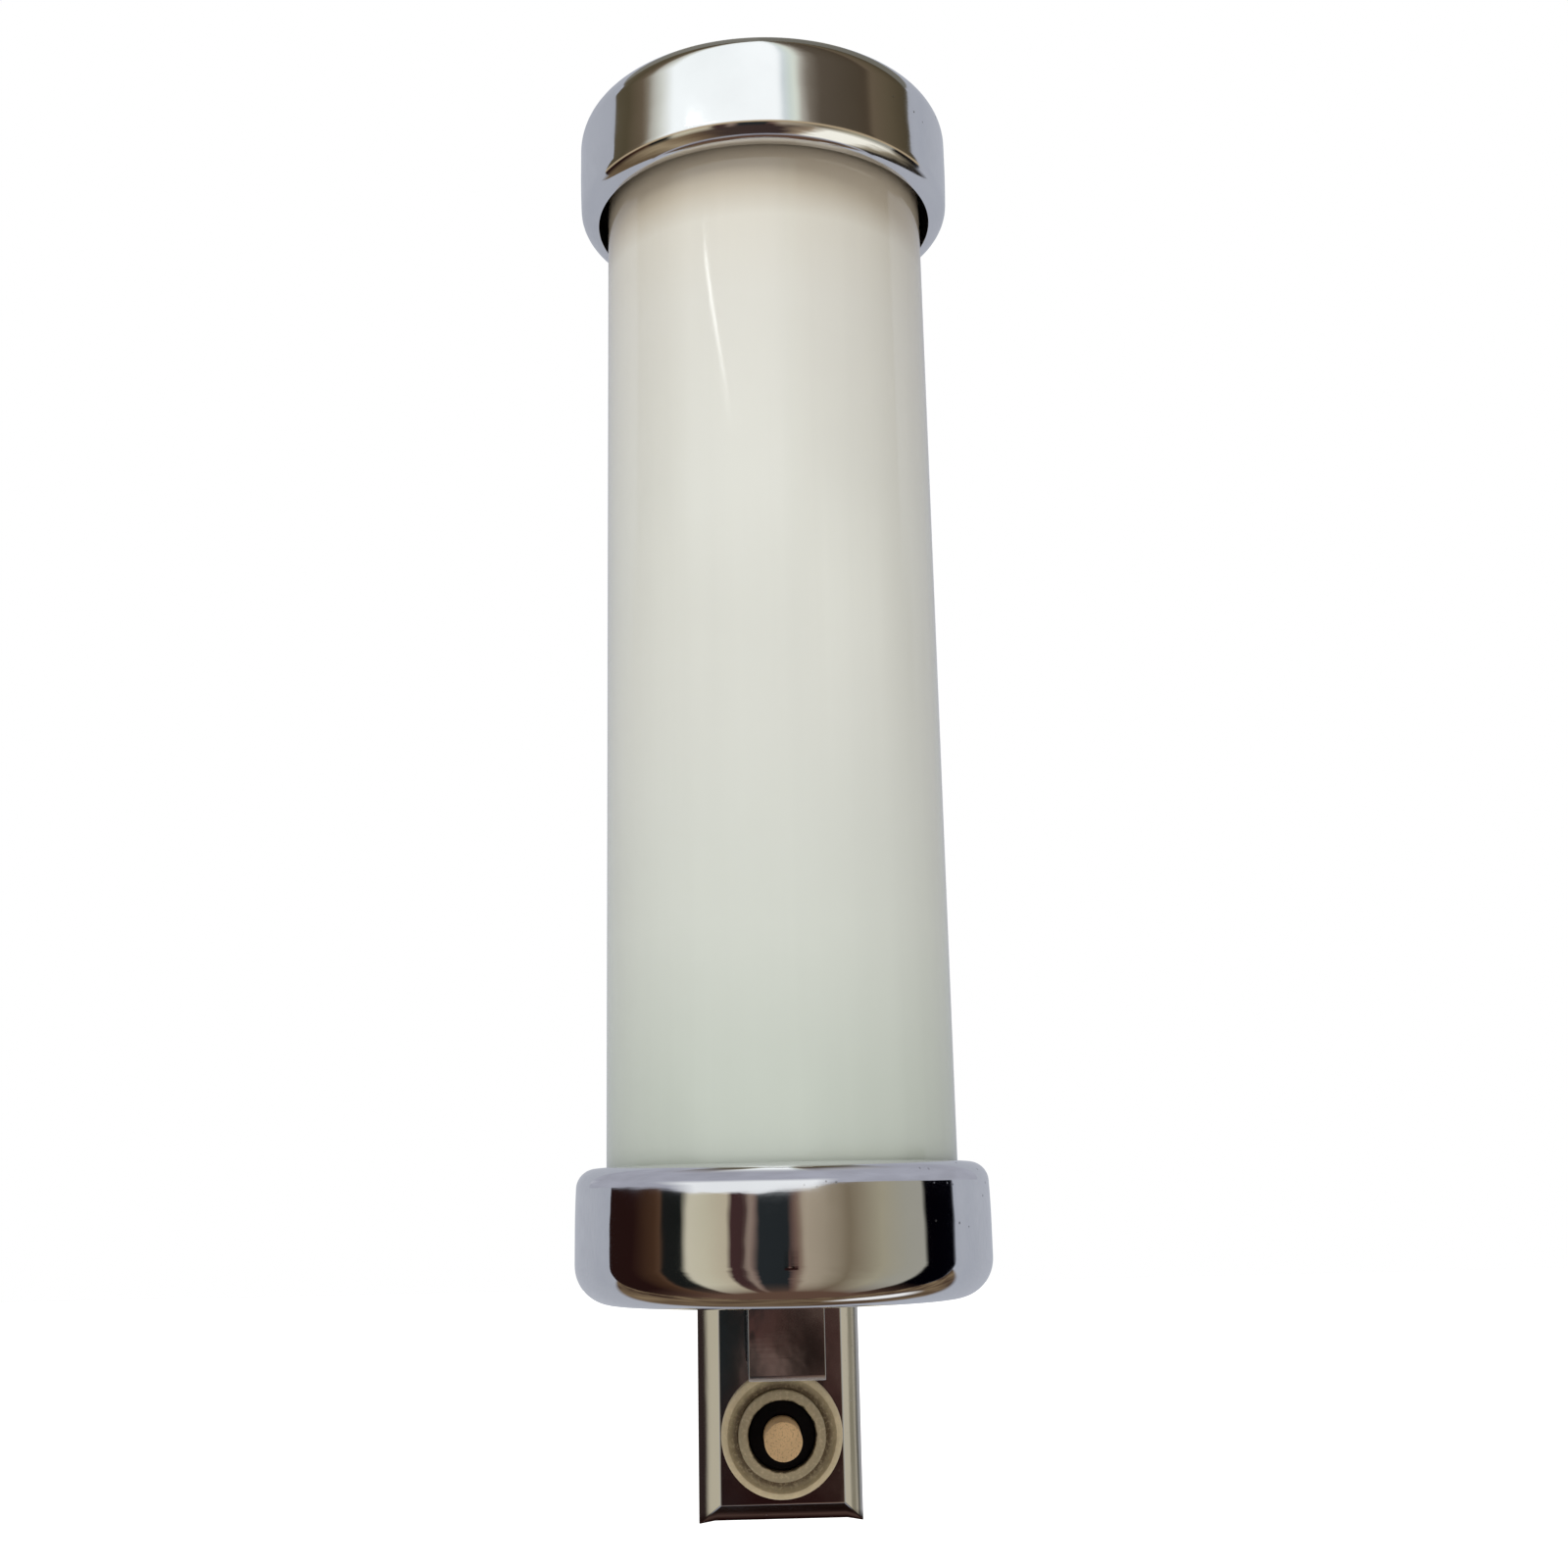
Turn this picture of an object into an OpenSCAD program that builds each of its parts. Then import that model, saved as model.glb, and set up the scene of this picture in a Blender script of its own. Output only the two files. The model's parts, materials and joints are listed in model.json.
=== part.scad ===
// Wall light with an opal glass tube held between two drawn metal caps.
// The lower cap stands on a square arm that leaves a bevelled wall tray,
// and a push switch sits in the tray under the arm.
// The wall is the plane y = 0, the light faces -Y, and Z is up. The origin
// is midway between the two wall screws, at half the height of the light.

/* [Glass tube] */
// Diameter of the glass tube as a share of the caps' diameter
glass_share = 0.85; // [0.82:0.005:0.88]
// Wall of the glass tube
glass_wall = 3; // [2:0.5:5]
// Height of the light over both caps
light_h = 219; // [200:1:320]

/* [Caps] */
// Outside diameter of the caps
cap_d = 70; // [68:0.5:76]
// Height of each cap
cap_h = 22; // [18:0.5:30]
// Sheet thickness of the caps
cap_wall = 1; // [0.6:0.1:1.4]
// Outside radius of the round edge at the closed end of a cap
cap_edge_r = 6.5; // [3:0.5:8]
// Radius of the lip that rolls in at the open end of a cap
cap_lip_r = 3.1; // [2:0.1:3.4]

/* [Glass seats] */
// Thickness of the rubber seat under the glass
seat_t = 3; // [2:0.5:5]
// Height of the seat's collar around the glass
seat_collar = 3; // [1:0.5:6]
// Ledge of the seat inside the bore of the glass
seat_ledge = 2; // [1:0.5:3]

/* [Wall tray] */
// Width of the flat face
tray_face_w = 22.8; // [22.6:0.2:34]
// Width at the wall
tray_back_w = 31.2; // [30:0.2:44]
// Depth from the wall to the face
tray_depth = 16; // [15.5:0.5:24]
// Sheet thickness of the tray
tray_wall = 1; // [0.6:0.1:1.2]
// Reach of the tray below the lower cap
tray_below = 42.8; // [41:0.2:80]
// Reach of the tray above the upper cap
tray_above = 6; // [0:0.5:40]
// Height of the slope at each end
tray_end_slope = 5.3; // [2:0.1:6]
// Drop of the pinched corners below the lower edge
tray_ear = 0.9; // [0:0.1:1.5]
// Width of each pinched corner
tray_ear_w = 3; // [1:0.5:5]

/* [Wall bar] */
// Width of the bar behind the tray
bar_w = 16; // [14:0.5:18]
// Thickness of the bar
bar_t = 2; // [1.5:0.1:2.5]
// Distance between the two wall screws
wall_screw_gap = 140; // [120:1:150]
// Width of the wall slots
wall_slot_w = 5; // [4:0.1:6]
// Length of the wall slots
wall_slot_l = 9; // [8:0.5:14]
// Distance of the bar's upper end below the top of the light
bar_top_gap = 12; // [5:1:20]
// Height from the middle to each pair of ears
ear_z = 50; // [46:1:54]
// Height of each ear
ear_h = 12; // [10:0.5:14]
// Depth of each ear in front of the wall
ear_depth = 7.5; // [7:0.5:9]
// Thickness of the ears
ear_t = 1.4; // [1:0.1:2]

/* [Arm] */
// Distance from the wall to the axis of the tube
tube_reach = 56; // [54:0.5:70]
// Width of the arm
arm_w = 12.5; // [11.8:0.1:14]
// Height of the arm
arm_h = 12.2; // [11:0.1:13]
// Wall of the arm
arm_wall = 1.2; // [0.8:0.1:1.5]
// Reach of the arm's nose past the axis of the tube
arm_nose = 8; // [7:0.5:14]
// Height of the arm's fixing plate above the arm
arm_plate_up = 14; // [13.5:0.5:18]
// Thickness of the fixing plate
arm_plate_t = 2; // [1.5:0.1:2.5]

/* [Inner frame] */
// Width of the strip that joins both caps inside the glass
strip_w = 12; // [9:0.5:13]
// Thickness of the strip
strip_t = 2; // [1.5:0.1:2.5]
// Gap between the upright and the ledges of the glass seats
strip_gap = 2.75; // [2.4:0.05:3.5]
// Reach of the strip's two ends past the axis
strip_nose = 7; // [6:0.5:9]
// Outside radius of the strip's two bends
strip_bend = 3.5; // [3:0.5:5]
// Gap between the strip's upper end and the upper cap
strip_top_gap = 7; // [6.6:0.2:9]

/* [Fasteners] */
// Outside diameter of the hollow nipple under the lampholder
nipple_d = 8; // [7.4:0.1:8.2]
// Bore of the nipple
nipple_bore = 4.8; // [4.4:0.1:5.4]
// Diameter of the stud that carries the upper cap
stud_d = 5.9; // [5:0.1:6.5]
// Reach of the stud above the upper cap
stud_up = 9; // [7:0.5:14]
// Diameter of the knurled finial nut
finial_d = 17; // [14:0.5:24]
// Height of the finial nut's knurled rim
finial_rim_h = 7; // [5:0.5:9]
// Height of the finial nut's dome
finial_dome_h = 5; // [4.5:0.5:8]

/* [Switch] */
// Drop from the underside of the lower cap to the switch
switch_drop = 25.3; // [25:0.1:27]
// Diameter of the switch's neck
neck_d = 16.1; // [15.6:0.1:16.6]
// Bore of the neck
neck_bore = 12.3; // [11.6:0.1:13]
// Reach of the neck in front of the tray
neck_out = 4; // [3.6:0.1:6]
// Depth of the dark recess in the neck
neck_recess = 2; // [1:0.1:2.5]
// Diameter of the ring nut
ring_d = 22.3; // [21.4:0.1:22.6]
// Height of the ring nut's rim
ring_out = 3.2; // [2.6:0.1:3.4]
// Diameter of the switch body
switch_d = 19.2; // [18.8:0.1:20]
// Gap between the wall and the back of the switch body
switch_wall_gap = 3; // [2.8:0.1:3.2]
// Diameter of the push button
button_d = 6.8; // [6.2:0.1:7.4]
// Reach of the button in front of the neck
button_out = 9; // [5:0.5:12]
// Travel of the button
button_travel = 3.5; // [2:0.1:3.8]
// Wire diameter of the button's spring
spring_wire = 0.5; // [0.3:0.05:0.6]
// Turns of the button's spring
spring_turns = 6; // [4:1:8]

/* [Lampholder and lamp] */
// Diameter of the porcelain lampholder
holder_d = 27; // [25:0.5:30]
// Height of the lampholder's narrow base
holder_base_h = 7; // [6:0.5:9]
// Height of the lampholder's socket
socket_h = 24; // [22:0.5:30]
// Outside diameter of the lamp's screw cap
lamp_cap_d = 13.9; // [13.5:0.1:14.2]
// Length of the lamp's screw cap
lamp_cap_l = 21; // [19:0.5:24]
// Diameter of the lamp's bulb
lamp_d = 26; // [20:0.5:30]
// Length of the lamp's bulb
lamp_l = 80; // [60:1:90]

/* [Wiring] */
// Width of the terminal block
block_w = 18; // [16:0.5:19]
// Height of the terminal block
block_h = 18; // [14:0.5:20]
// Depth of the terminal block
block_depth = 10; // [9:0.5:11]
// Distance from the middle of the bar down to the block's centre
block_drop = 24; // [20:1:28]
// Diameter of the cable hole in the wall bar
cable_hole_d = 11; // [10.5:0.5:12]
// Bore of the rubber grommet in the cable hole
grommet_bore = 8; // [6:0.1:8.4]
// Diameter of the inner wires
wire_d = 1.8; // [1.4:0.1:1.9]

/* [Hidden] */

$fn = 96;
eps = 0.01;

// Clearances
fit = 0.05;      // pieces screwed or pushed together
slip = 0.08;     // pieces that turn or slide in each other
rest = 0.1;      // pieces that lie on each other and lift apart
window = 0.2;    // arm in the tray's window, wire holes
seat_gap = 0.2;  // seats in the round of the caps
glass_gap = 0.3; // collar of a seat around the glass

// Heights
z_under = -light_h / 2;
z_top = light_h / 2;
z_floor = z_under + cap_wall;
z_ceiling = z_top - cap_wall;
z_foot = z_floor + strip_t;
z_tab = z_ceiling - strip_top_gap;
z_glass = z_floor + seat_t + rest;
glass_h = light_h - 2 * (cap_wall + seat_t) - 2 * rest;
z_switch = z_under - switch_drop;
z_tray_low = z_under - tray_below;
z_tray_high = z_top + tray_above;
z_arm = z_under - arm_h;

// Depths, measured from the wall towards the front
y_axis = -tube_reach;
y_face = -tray_depth;
y_neck = y_face - neck_out;
y_recess = y_neck + neck_recess;

cap_r = cap_d / 2;
glass_r = cap_r * glass_share;
strip_back = glass_r - glass_wall - seat_ledge - strip_gap;
stud_r = stud_d / 2;
nipple_r = nipple_d / 2;

// Fixing plate and bar under the arm
plate_margin = 0.5;
bar_low = z_arm - plate_margin - 1;
bar_high = z_top - bar_top_gap;
plate_high = z_under + arm_plate_up;
arm_screw_z = [z_under + 5, z_under + arm_plate_up - 4];

// Slope of the tray's sides
side_run = (tray_back_w - tray_face_w) / 2;
side_angle = atan(side_run / tray_depth);
// Middle of the ears, measured along the slope from the wall
ear_mid = ear_depth / 2 / cos(side_angle);
ear_gap = 0.3;

// Screws: slot in the heads, sizes of each kind, and reach behind the ears
slot_w = 0.8;
slot_deep = 0.8;
side_screw_d = 3;
side_head_d = 5;
side_head_h = 1.6;
side_screw_past = 1.5;
arm_screw_d = 4;
arm_head_d = 7;
arm_head_h = 2;
block_screw_d = 3;
block_head_d = 5.4;
block_head_h = 1.8;
block_head_in = 2.5;
earth_screw_d = 4;
earth_washer_d = 9;
earth_washer_t = 1;
earth_head_d = 7;
earth_head_h = 2.2;
terminal_d = 3.2;
terminal_in = 4;

// Places of the two poles in the terminal block
pole_x = 5;
wire_y = -7;

// Button and its chamber in the switch body
chamber_wall = 1.6;
y_chamber_front = y_recess + chamber_wall;
y_body_back = -switch_wall_gap;
body_floor = 1.2;
y_chamber_back = y_body_back - body_floor;
neck_flange_t = 1.5;
y_flange = y_face + tray_wall + neck_flange_t;
collar_t = 1.4;
y_collar = y_chamber_front + 0.3;
chamber_d = 10;
button_bore_d = button_d + 2 * slip;
pilot_d = 4;
pilot_gap = 0.6;
y_pilot = y_chamber_back - button_travel - pilot_gap;
spring_r = pilot_d / 2 + 0.4 + spring_wire / 2;
pole_gap = 4.5;
pole_d = 3.8;
pole_h = 2;

// Lampholder heights
nipple_nut_w = 12;
nipple_nut_h = 3;
z_holder = z_foot + nipple_nut_h;
z_socket = z_holder + holder_base_h;
z_socket_top = z_socket + socket_h;
shell_r = lamp_cap_d / 2 + slip;
shell_t = 0.6;
z_contact = z_socket + 2.5;
contact_t = 0.6;
contact_tip = 3.4;
z_lamp = z_socket + contact_t + contact_tip + rest;
nipple_in = 4.5;
holder_screw_x = 6;
holder_screw_d = 2.3;
z_lamp_cap_top = z_lamp + lamp_cap_l;

// Bulb: gap to the cap, reach into it, start of the shoulder, wall and round end
bulb_in = 1.2;
neck_in = 3.5;
neck_up = 1.5;
bulb_wall = 0.8;
bulb_end_r = 8;

// Stem, supports and filament inside the bulb
stem_r = lamp_cap_d * 0.16;
stem_h = lamp_l * 0.325;
support_l = lamp_l * 0.3;
support_r = 0.35;
support_x = 1.5;
support_lean = 12;
filament_r = 0.5;
stem_foot_h = 2;
stem_foot_gap = 0.3;
z_stem = z_lamp_cap_top - stem_foot_h - 0.5;
z_support = z_stem + stem_h - 1;

// Nuts on the stud, and the tapped block in the arm
stud_nut_w = 10;
washer_t = 0.8;
washer_past = 1.5;
stud_nut_h = 3.4;
stud_past = 1.5;
nipple_low = z_under - 5.2;
insert_h = 3.5;
insert_l = 12;

// Opening in the arm's upper wall, where the wires enter behind the tray's sheet
wire_slot_w = 6;
wire_slot_l = 7.6;

// Routes of the inner wires, from the wall bar's block to the switch and the lamp
wire_x = 9.3;
wire_z_arm = z_arm + arm_wall + wire_d / 2 + 0.6;
block_low = -block_drop - block_h / 2;
live_route = [
    [pole_x, wire_y, block_low + 5], [pole_x, wire_y, block_low - 1.5], [5.6, wire_y, block_low - 8],
    [wire_x - 1.2, wire_y, block_low - 15], [wire_x, wire_y, block_low - 24],
    [wire_x, wire_y, z_under + 34], [wire_x, -6.9, z_under + 18], [wire_x, -6.5, z_under + 2],
    [wire_x, -5.5, z_under - 8], [8, -1.9, z_switch + 9], [5, -1.6, z_switch + 4.5],
    [pole_gap, -1.6, z_switch + 2.4]];
switch_route = [
    [-pole_gap, -1.6, z_switch + 2.4], [-5, -1.6, z_switch + 4.5], [-8, -1.9, z_switch + 9],
    [-wire_x, -5.5, z_under - 8], [-wire_x, -8, z_under], [-8, -11, z_under + 5],
    [-4, -12.4, z_under + 6], [-1.4, -12.4, z_under + 2.5], [-1.2, -13, z_under - 3],
    [-1.2, -18.5, wire_z_arm], [-1.2, y_axis + 12, wire_z_arm],
    [-1.2, y_axis + 4, wire_z_arm + 0.1], [-1.2, y_axis + 1, nipple_low - 2.6],
    [-1.2, y_axis + 0.1, nipple_low + 0.5], [-1.2, y_axis, z_under + 2],
    [-1.2, y_axis, z_holder + 4]];
neutral_route = [
    [-pole_x, wire_y, block_low + 5], [-pole_x, wire_y, block_low - 1.5],
    [-pole_x, wire_y, block_low - 10], [-pole_x, -7.2, block_low - 24], [-5, -7.6, z_under + 34],
    [-4.6, -8, z_under + 21], [-3, -8.6, z_under + 13], [0.6, -8.8, z_under + 7], [1.2, -8.8, z_under + 2],
    [1.2, -9.6, z_under - 3], [1.2, -14.5, wire_z_arm], [1.2, y_axis + 12, wire_z_arm],
    [1.2, y_axis + 4, wire_z_arm + 0.1], [1.2, y_axis + 1, nipple_low - 2.6],
    [1.2, y_axis + 0.1, nipple_low + 0.5], [1.2, y_axis, z_under + 2],
    [1.2, y_axis, z_holder + 4]];

// A point of a smooth curve through four neighbours
function curve_point(a, b, c, d, t) =
    0.5 * (2 * b + (c - a) * t + (2 * a - 5 * b + 4 * c - d) * t * t
    + (3 * b - a - 3 * c + d) * t * t * t);

// A smooth path through all points of a route
function smooth(p, n) = [
    for (i = [0 : len(p) - 2], k = [0 : n - 1])
        curve_point(p[max(i - 1, 0)], p[i], p[i + 1], p[min(i + 2, len(p) - 1)], k / n),
    p[len(p) - 1]];

function unit(v) = v / norm(v);
function heading(p, i) = unit(p[min(i + 1, len(p) - 1)] - p[max(i - 1, 0)]);
function upright(t, n) = unit(n - (n * t) * t);

// Side directions along a path, each carried over from the one before
function side_dirs(p, first) = [
    for (i = 0, n = upright(heading(p, 0), first); i < len(p);
        i = i + 1, n = i < len(p) ? upright(heading(p, i), n) : n) n];

// A round tube along a path
module tube(path, d, first, sides = 8) {
    n = side_dirs(path, first);
    last = len(path) - 1;
    points = [
        for (i = [0 : last], k = [0 : sides - 1])
            let (a = 360 * k / sides, b = cross(heading(path, i), n[i]))
                path[i] + d / 2 * (cos(a) * n[i] + sin(a) * b)];
    walls = [
        for (i = [0 : last - 1], k = [0 : sides - 1])
            let (a = i * sides + k, b = i * sides + (k + 1) % sides)
                each [[a, a + sides, b], [b, a + sides, b + sides]]];
    ends = [
        for (k = [1 : sides - 2])
            each [[0, k, k + 1], [last * sides, last * sides + k + 1, last * sides + k]]];
    polyhedron(points = points, faces = concat(walls, ends), convexity = 8);
}

// A solid turned about a line that points from the wall to the front
module from_wall(x, z, y) {
    translate([x, y, z])
        rotate([90, 0, 0])
            children();
}

// A place on the sloping side of the tray: X points out of the side, Y to the wall
module on_side(side, z) {
    mirror([side < 0 ? 1 : 0, 0, 0])
        translate([tray_back_w / 2, 0, z])
            rotate([0, 0, -side_angle])
                translate([0, -ear_mid, 0])
                    children();
}

module hex_nut(across, h, bore) {
    difference() {
        cylinder(d = across / cos(30), h = h, $fn = 6);
        translate([0, 0, -eps])
            cylinder(d = bore, h = h + 2 * eps);
    }
}

// Cut for a screwdriver across a head that ends at height h
module head_slot(head_d, h) {
    translate([-head_d, -slot_w / 2, h - slot_deep])
        cube([2 * head_d, slot_w, slot_deep + 1]);
}

// ---- Wall bar and tray ----

module mounting_bar() {
    color("lightslategray")
        difference() {
            union() {
                translate([-bar_w / 2, -bar_t, bar_low])
                    cube([bar_w, bar_t, bar_high - bar_low]);
                for (side = [-1, 1], s = [-1, 1])
                    bar_ear(side, s * ear_z);
            }
            for (s = [-1, 1])
                wall_slot(s * wall_screw_gap / 2);
            from_wall(0, 0, eps)
                cylinder(d = cable_hole_d, h = bar_t + 2 * eps);
            for (z = arm_screw_z)
                from_wall(0, z, eps)
                    cylinder(d = arm_screw_d, h = bar_t + 2 * eps);
            from_wall(0, -block_drop, eps)
                cylinder(d = block_screw_d, h = bar_t + 2 * eps);
            from_wall(0, block_drop, eps)
                cylinder(d = earth_screw_d, h = bar_t + 2 * eps);
            for (side = [-1, 1], s = [-1, 1])
                on_side(side, s * ear_z)
                    translate([-side_head_d - ear_t, 0, 0])
                        rotate([0, 90, 0])
                            cylinder(d = side_screw_d + 2 * fit, h = side_head_d + ear_t);
        }
}

// One wing of the bar, turned forward along the tray's side
module bar_ear(side, z) {
    half = tray_back_w / 2;
    inset = (tray_wall + ear_gap) / cos(side_angle);
    translate([0, 0, z - ear_h / 2])
        linear_extrude(ear_h)
            mirror([side < 0 ? 1 : 0, 0])
                polygon([
                    [bar_w / 2 - 1, 0],
                    [half - inset, 0],
                    [half - inset - ear_depth * tan(side_angle), -ear_depth],
                    [half - inset - ear_depth * tan(side_angle) - ear_t, -ear_depth],
                    [half - inset - ear_t - bar_t * tan(side_angle), -bar_t],
                    [bar_w / 2 - 1, -bar_t]]);
}

// A slot that runs up and down
module wall_slot(z) {
    run = (wall_slot_l - wall_slot_w) / 2;
    for (s = [-1, 1])
        from_wall(0, z + s * run, eps)
            cylinder(d = wall_slot_w, h = bar_t + 2 * eps);
    translate([-wall_slot_w / 2, -bar_t - eps, z - run])
        cube([wall_slot_w, bar_t + 2 * eps, 2 * run]);
}

// The tray's form, drawn in by a wall and cut off at two depths
module tray_form(inset, y_back, y_front) {
    function half_w(y) = tray_back_w / 2 + side_run * y / tray_depth - inset;
    function end_in(y) = -tray_end_slope * y / tray_depth + inset;
    b = half_w(y_back);
    f = half_w(y_front);
    low = z_tray_low + end_in(y_back);
    high = z_tray_high - end_in(y_back);
    low_f = z_tray_low + end_in(y_front);
    high_f = z_tray_high - end_in(y_front);
    e = b - tray_ear_w;
    polyhedron(
        points = [
            [-b, y_back, high], [b, y_back, high], [b, y_back, low],
            [e, y_back, low + tray_ear], [-e, y_back, low + tray_ear], [-b, y_back, low],
            [-f, y_front, high_f], [f, y_front, high_f], [f, y_front, low_f], [-f, y_front, low_f]],
        faces = [
            [0, 5, 4, 3, 2, 1], [6, 7, 8, 9], [0, 1, 7, 6], [1, 2, 8, 7],
            [5, 0, 6, 9], [3, 4, 9, 8], [2, 3, 8], [4, 5, 9]]);
}

module wall_tray() {
    color("silver")
        difference() {
            tray_form(0, 0, y_face);
            tray_form(tray_wall, 1, y_face + tray_wall);
            translate([-arm_w / 2 - window, y_face - 1, z_arm - window])
                cube([arm_w + 2 * window, tray_wall + 2, arm_h + 2 * window]);
            from_wall(0, z_switch, y_face + tray_wall + 1)
                cylinder(d = neck_d + 2 * window, h = tray_wall + 2);
            for (side = [-1, 1], s = [-1, 1])
                on_side(side, s * ear_z)
                    translate([-tray_wall - 1, 0, 0])
                        rotate([0, 90, 0])
                            cylinder(d = side_screw_d + 2 * fit, h = tray_wall + 2);
        }
}

module tray_screws() {
    shank = tray_wall + ear_gap + ear_t + side_screw_past;
    color("lightgray")
        for (side = [-1, 1], s = [-1, 1])
            on_side(side, s * ear_z)
                rotate([0, 90, 0])
                    difference() {
                        union() {
                            cylinder(d = side_head_d, h = side_head_h);
                            translate([0, 0, -shank])
                                cylinder(d = side_screw_d, h = shank + eps);
                        }
                        head_slot(side_head_d, side_head_h);
                    }
}

// ---- Arm ----

module arm() {
    inner_w = arm_w - 2 * arm_wall;
    inner_h = arm_h - 2 * arm_wall;
    nose_r = 1;
    y_nose = y_axis - arm_nose;
    plate_y = -bar_t - arm_plate_t;
    color("silver")
        difference() {
            union() {
                difference() {
                    translate([-arm_w / 2, y_nose, z_arm])
                        cube([arm_w, plate_y - y_nose + eps, arm_h]);
                    translate([-arm_w / 2 - 1, y_nose - 1, z_arm - 1])
                        cube([arm_w + 2, nose_r + 1, nose_r + 1]);
                }
                translate([-arm_w / 2, y_nose + nose_r, z_arm + nose_r])
                    rotate([0, 90, 0])
                        cylinder(r = nose_r, h = arm_w);
                translate([-bar_w / 2 + 0.5, plate_y, z_arm - plate_margin])
                    cube([bar_w - 1, arm_plate_t, plate_high - z_arm + plate_margin]);
            }
            translate([-inner_w / 2, y_nose + arm_wall, z_arm + arm_wall])
                cube([inner_w, plate_y - y_nose - arm_wall, inner_h]);
            translate([0, y_axis, z_under - arm_wall - 1])
                cylinder(r = nipple_r + fit, h = arm_wall + 2);
            translate([-wire_slot_w / 2, y_face + tray_wall + 1, z_under - arm_wall - 1])
                cube([wire_slot_w, wire_slot_l, arm_wall + 2]);
            for (z = arm_screw_z)
                from_wall(0, z, plate_y + arm_plate_t + 1)
                    cylinder(d = arm_screw_d + 2 * rest, h = arm_plate_t + 2);
        }
}

// Tapped block under the arm's upper wall
module arm_insert() {
    w = arm_w - 2 * arm_wall - 2 * fit;
    color("goldenrod")
        difference() {
            translate([-w / 2, y_axis - insert_l / 2, z_under - arm_wall - insert_h])
                cube([w, insert_l, insert_h]);
            translate([0, y_axis, z_under - arm_wall - insert_h - 1])
                cylinder(r = nipple_r + fit, h = insert_h + 2);
        }
}

// Two round-headed screws that hold the arm's plate on the bar
module arm_screws() {
    apart = arm_screw_z[1] - arm_screw_z[0];
    seat = bar_t + arm_plate_t;
    color("lightgray")
        for (z = arm_screw_z)
            from_wall(0, z, 0)
                difference() {
                    union() {
                        cylinder(d = arm_screw_d - 2 * fit, h = seat + eps);
                        translate([0, 0, seat])
                            cylinder(d = min(arm_head_d, apart - 4 * rest), h = arm_head_h);
                    }
                    head_slot(arm_head_d, seat + arm_head_h);
                }
}

// ---- Wiring in the tray ----

module terminal_block() {
    front = bar_t + block_depth;
    groove = 1.5;
    color("ivory")
        difference() {
            translate([-block_w / 2, -front, -block_drop - block_h / 2])
                cube([block_w, block_depth, block_h]);
            for (side = [-1, 1]) {
                translate([side * pole_x, wire_y, -block_drop - block_h])
                    cylinder(d = wire_d + 2 * window, h = 2 * block_h);
                for (s = [-1, 1])
                    from_wall(side * pole_x, -block_drop + s * (block_h / 2 - terminal_in), wire_y)
                        cylinder(d = terminal_d + window, h = block_depth);
            }
            from_wall(0, -block_drop, 0)
                cylinder(d = block_screw_d + window, h = front + 1);
            from_wall(0, -block_drop, block_head_in - front)
                cylinder(d = block_head_d + window, h = block_depth);
            translate([-groove / 2, -front - 1, -block_drop - block_h])
                cube([groove, groove + 1, 2 * block_h]);
        }
}

module terminal_screws() {
    low = wire_y - wire_d / 2 - rest;
    high = -bar_t - block_depth + terminal_d / 5;
    color("goldenrod")
        for (side = [-1, 1], s = [-1, 1])
            from_wall(side * pole_x, -block_drop + s * (block_h / 2 - terminal_in), low)
                difference() {
                    cylinder(d = terminal_d, h = low - high);
                    head_slot(terminal_d, low - high);
                }
}

module block_screw() {
    depth = bar_t + block_depth - block_head_in;
    color("lightgray")
        from_wall(0, -block_drop, 0)
            difference() {
                union() {
                    cylinder(d = block_screw_d - 2 * fit, h = depth);
                    translate([0, 0, depth])
                        cylinder(d = block_head_d, h = block_head_h);
                }
                head_slot(block_head_d, depth + block_head_h);
            }
}

// Earth screw with its flat washer
module earth_screw() {
    washer_top = bar_t + earth_washer_t;
    color("goldenrod")
        from_wall(0, block_drop, 0)
            difference() {
                union() {
                    cylinder(d = earth_screw_d - 2 * fit, h = washer_top);
                    translate([0, 0, bar_t])
                        cylinder(d = earth_washer_d, h = earth_washer_t);
                    translate([0, 0, washer_top])
                        cylinder(d = earth_head_d, h = earth_head_h);
                }
                head_slot(earth_head_d, washer_top + earth_head_h);
            }
}

module cable_grommet() {
    flange_t = 1.2;
    flange_d = cable_hole_d + 3;
    color("dimgray")
        from_wall(0, 0, 0)
            difference() {
                union() {
                    cylinder(d = cable_hole_d - 2 * fit, h = bar_t + eps);
                    translate([0, 0, bar_t])
                        cylinder(d = flange_d, h = flange_t);
                }
                translate([0, 0, -1])
                    cylinder(d = grommet_bore, h = bar_t + flange_t + 2);
            }
}

module live_wire() {
    color("saddlebrown")
        tube(smooth(live_route, 5), wire_d, [1, 0, 0]);
}

module switch_wire() {
    color("saddlebrown")
        tube(smooth(switch_route, 5), wire_d, [1, 0, 0]);
}

module neutral_wire() {
    color("steelblue")
        tube(smooth(neutral_route, 5), wire_d, [1, 0, 0]);
}

// ---- Caps, seats and glass ----

// Half section of a cup's outer form, drawn in by a gap on every side
module cup_section(inset) {
    r = cap_r - inset;
    edge = cap_edge_r - inset;
    lip = cap_lip_r - inset;
    high = cap_h - inset;
    translate([0, inset])
        square([r - edge, high - inset]);
    translate([0, inset + edge])
        square([r, high - inset - edge - lip]);
    translate([0, high - lip - eps])
        square([r - lip, lip + eps]);
    intersection() {
        translate([r - edge, inset + edge])
            circle(edge);
        square([cap_r, cap_h]);
    }
    translate([r - lip, high - lip])
        circle(lip);
}

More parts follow.
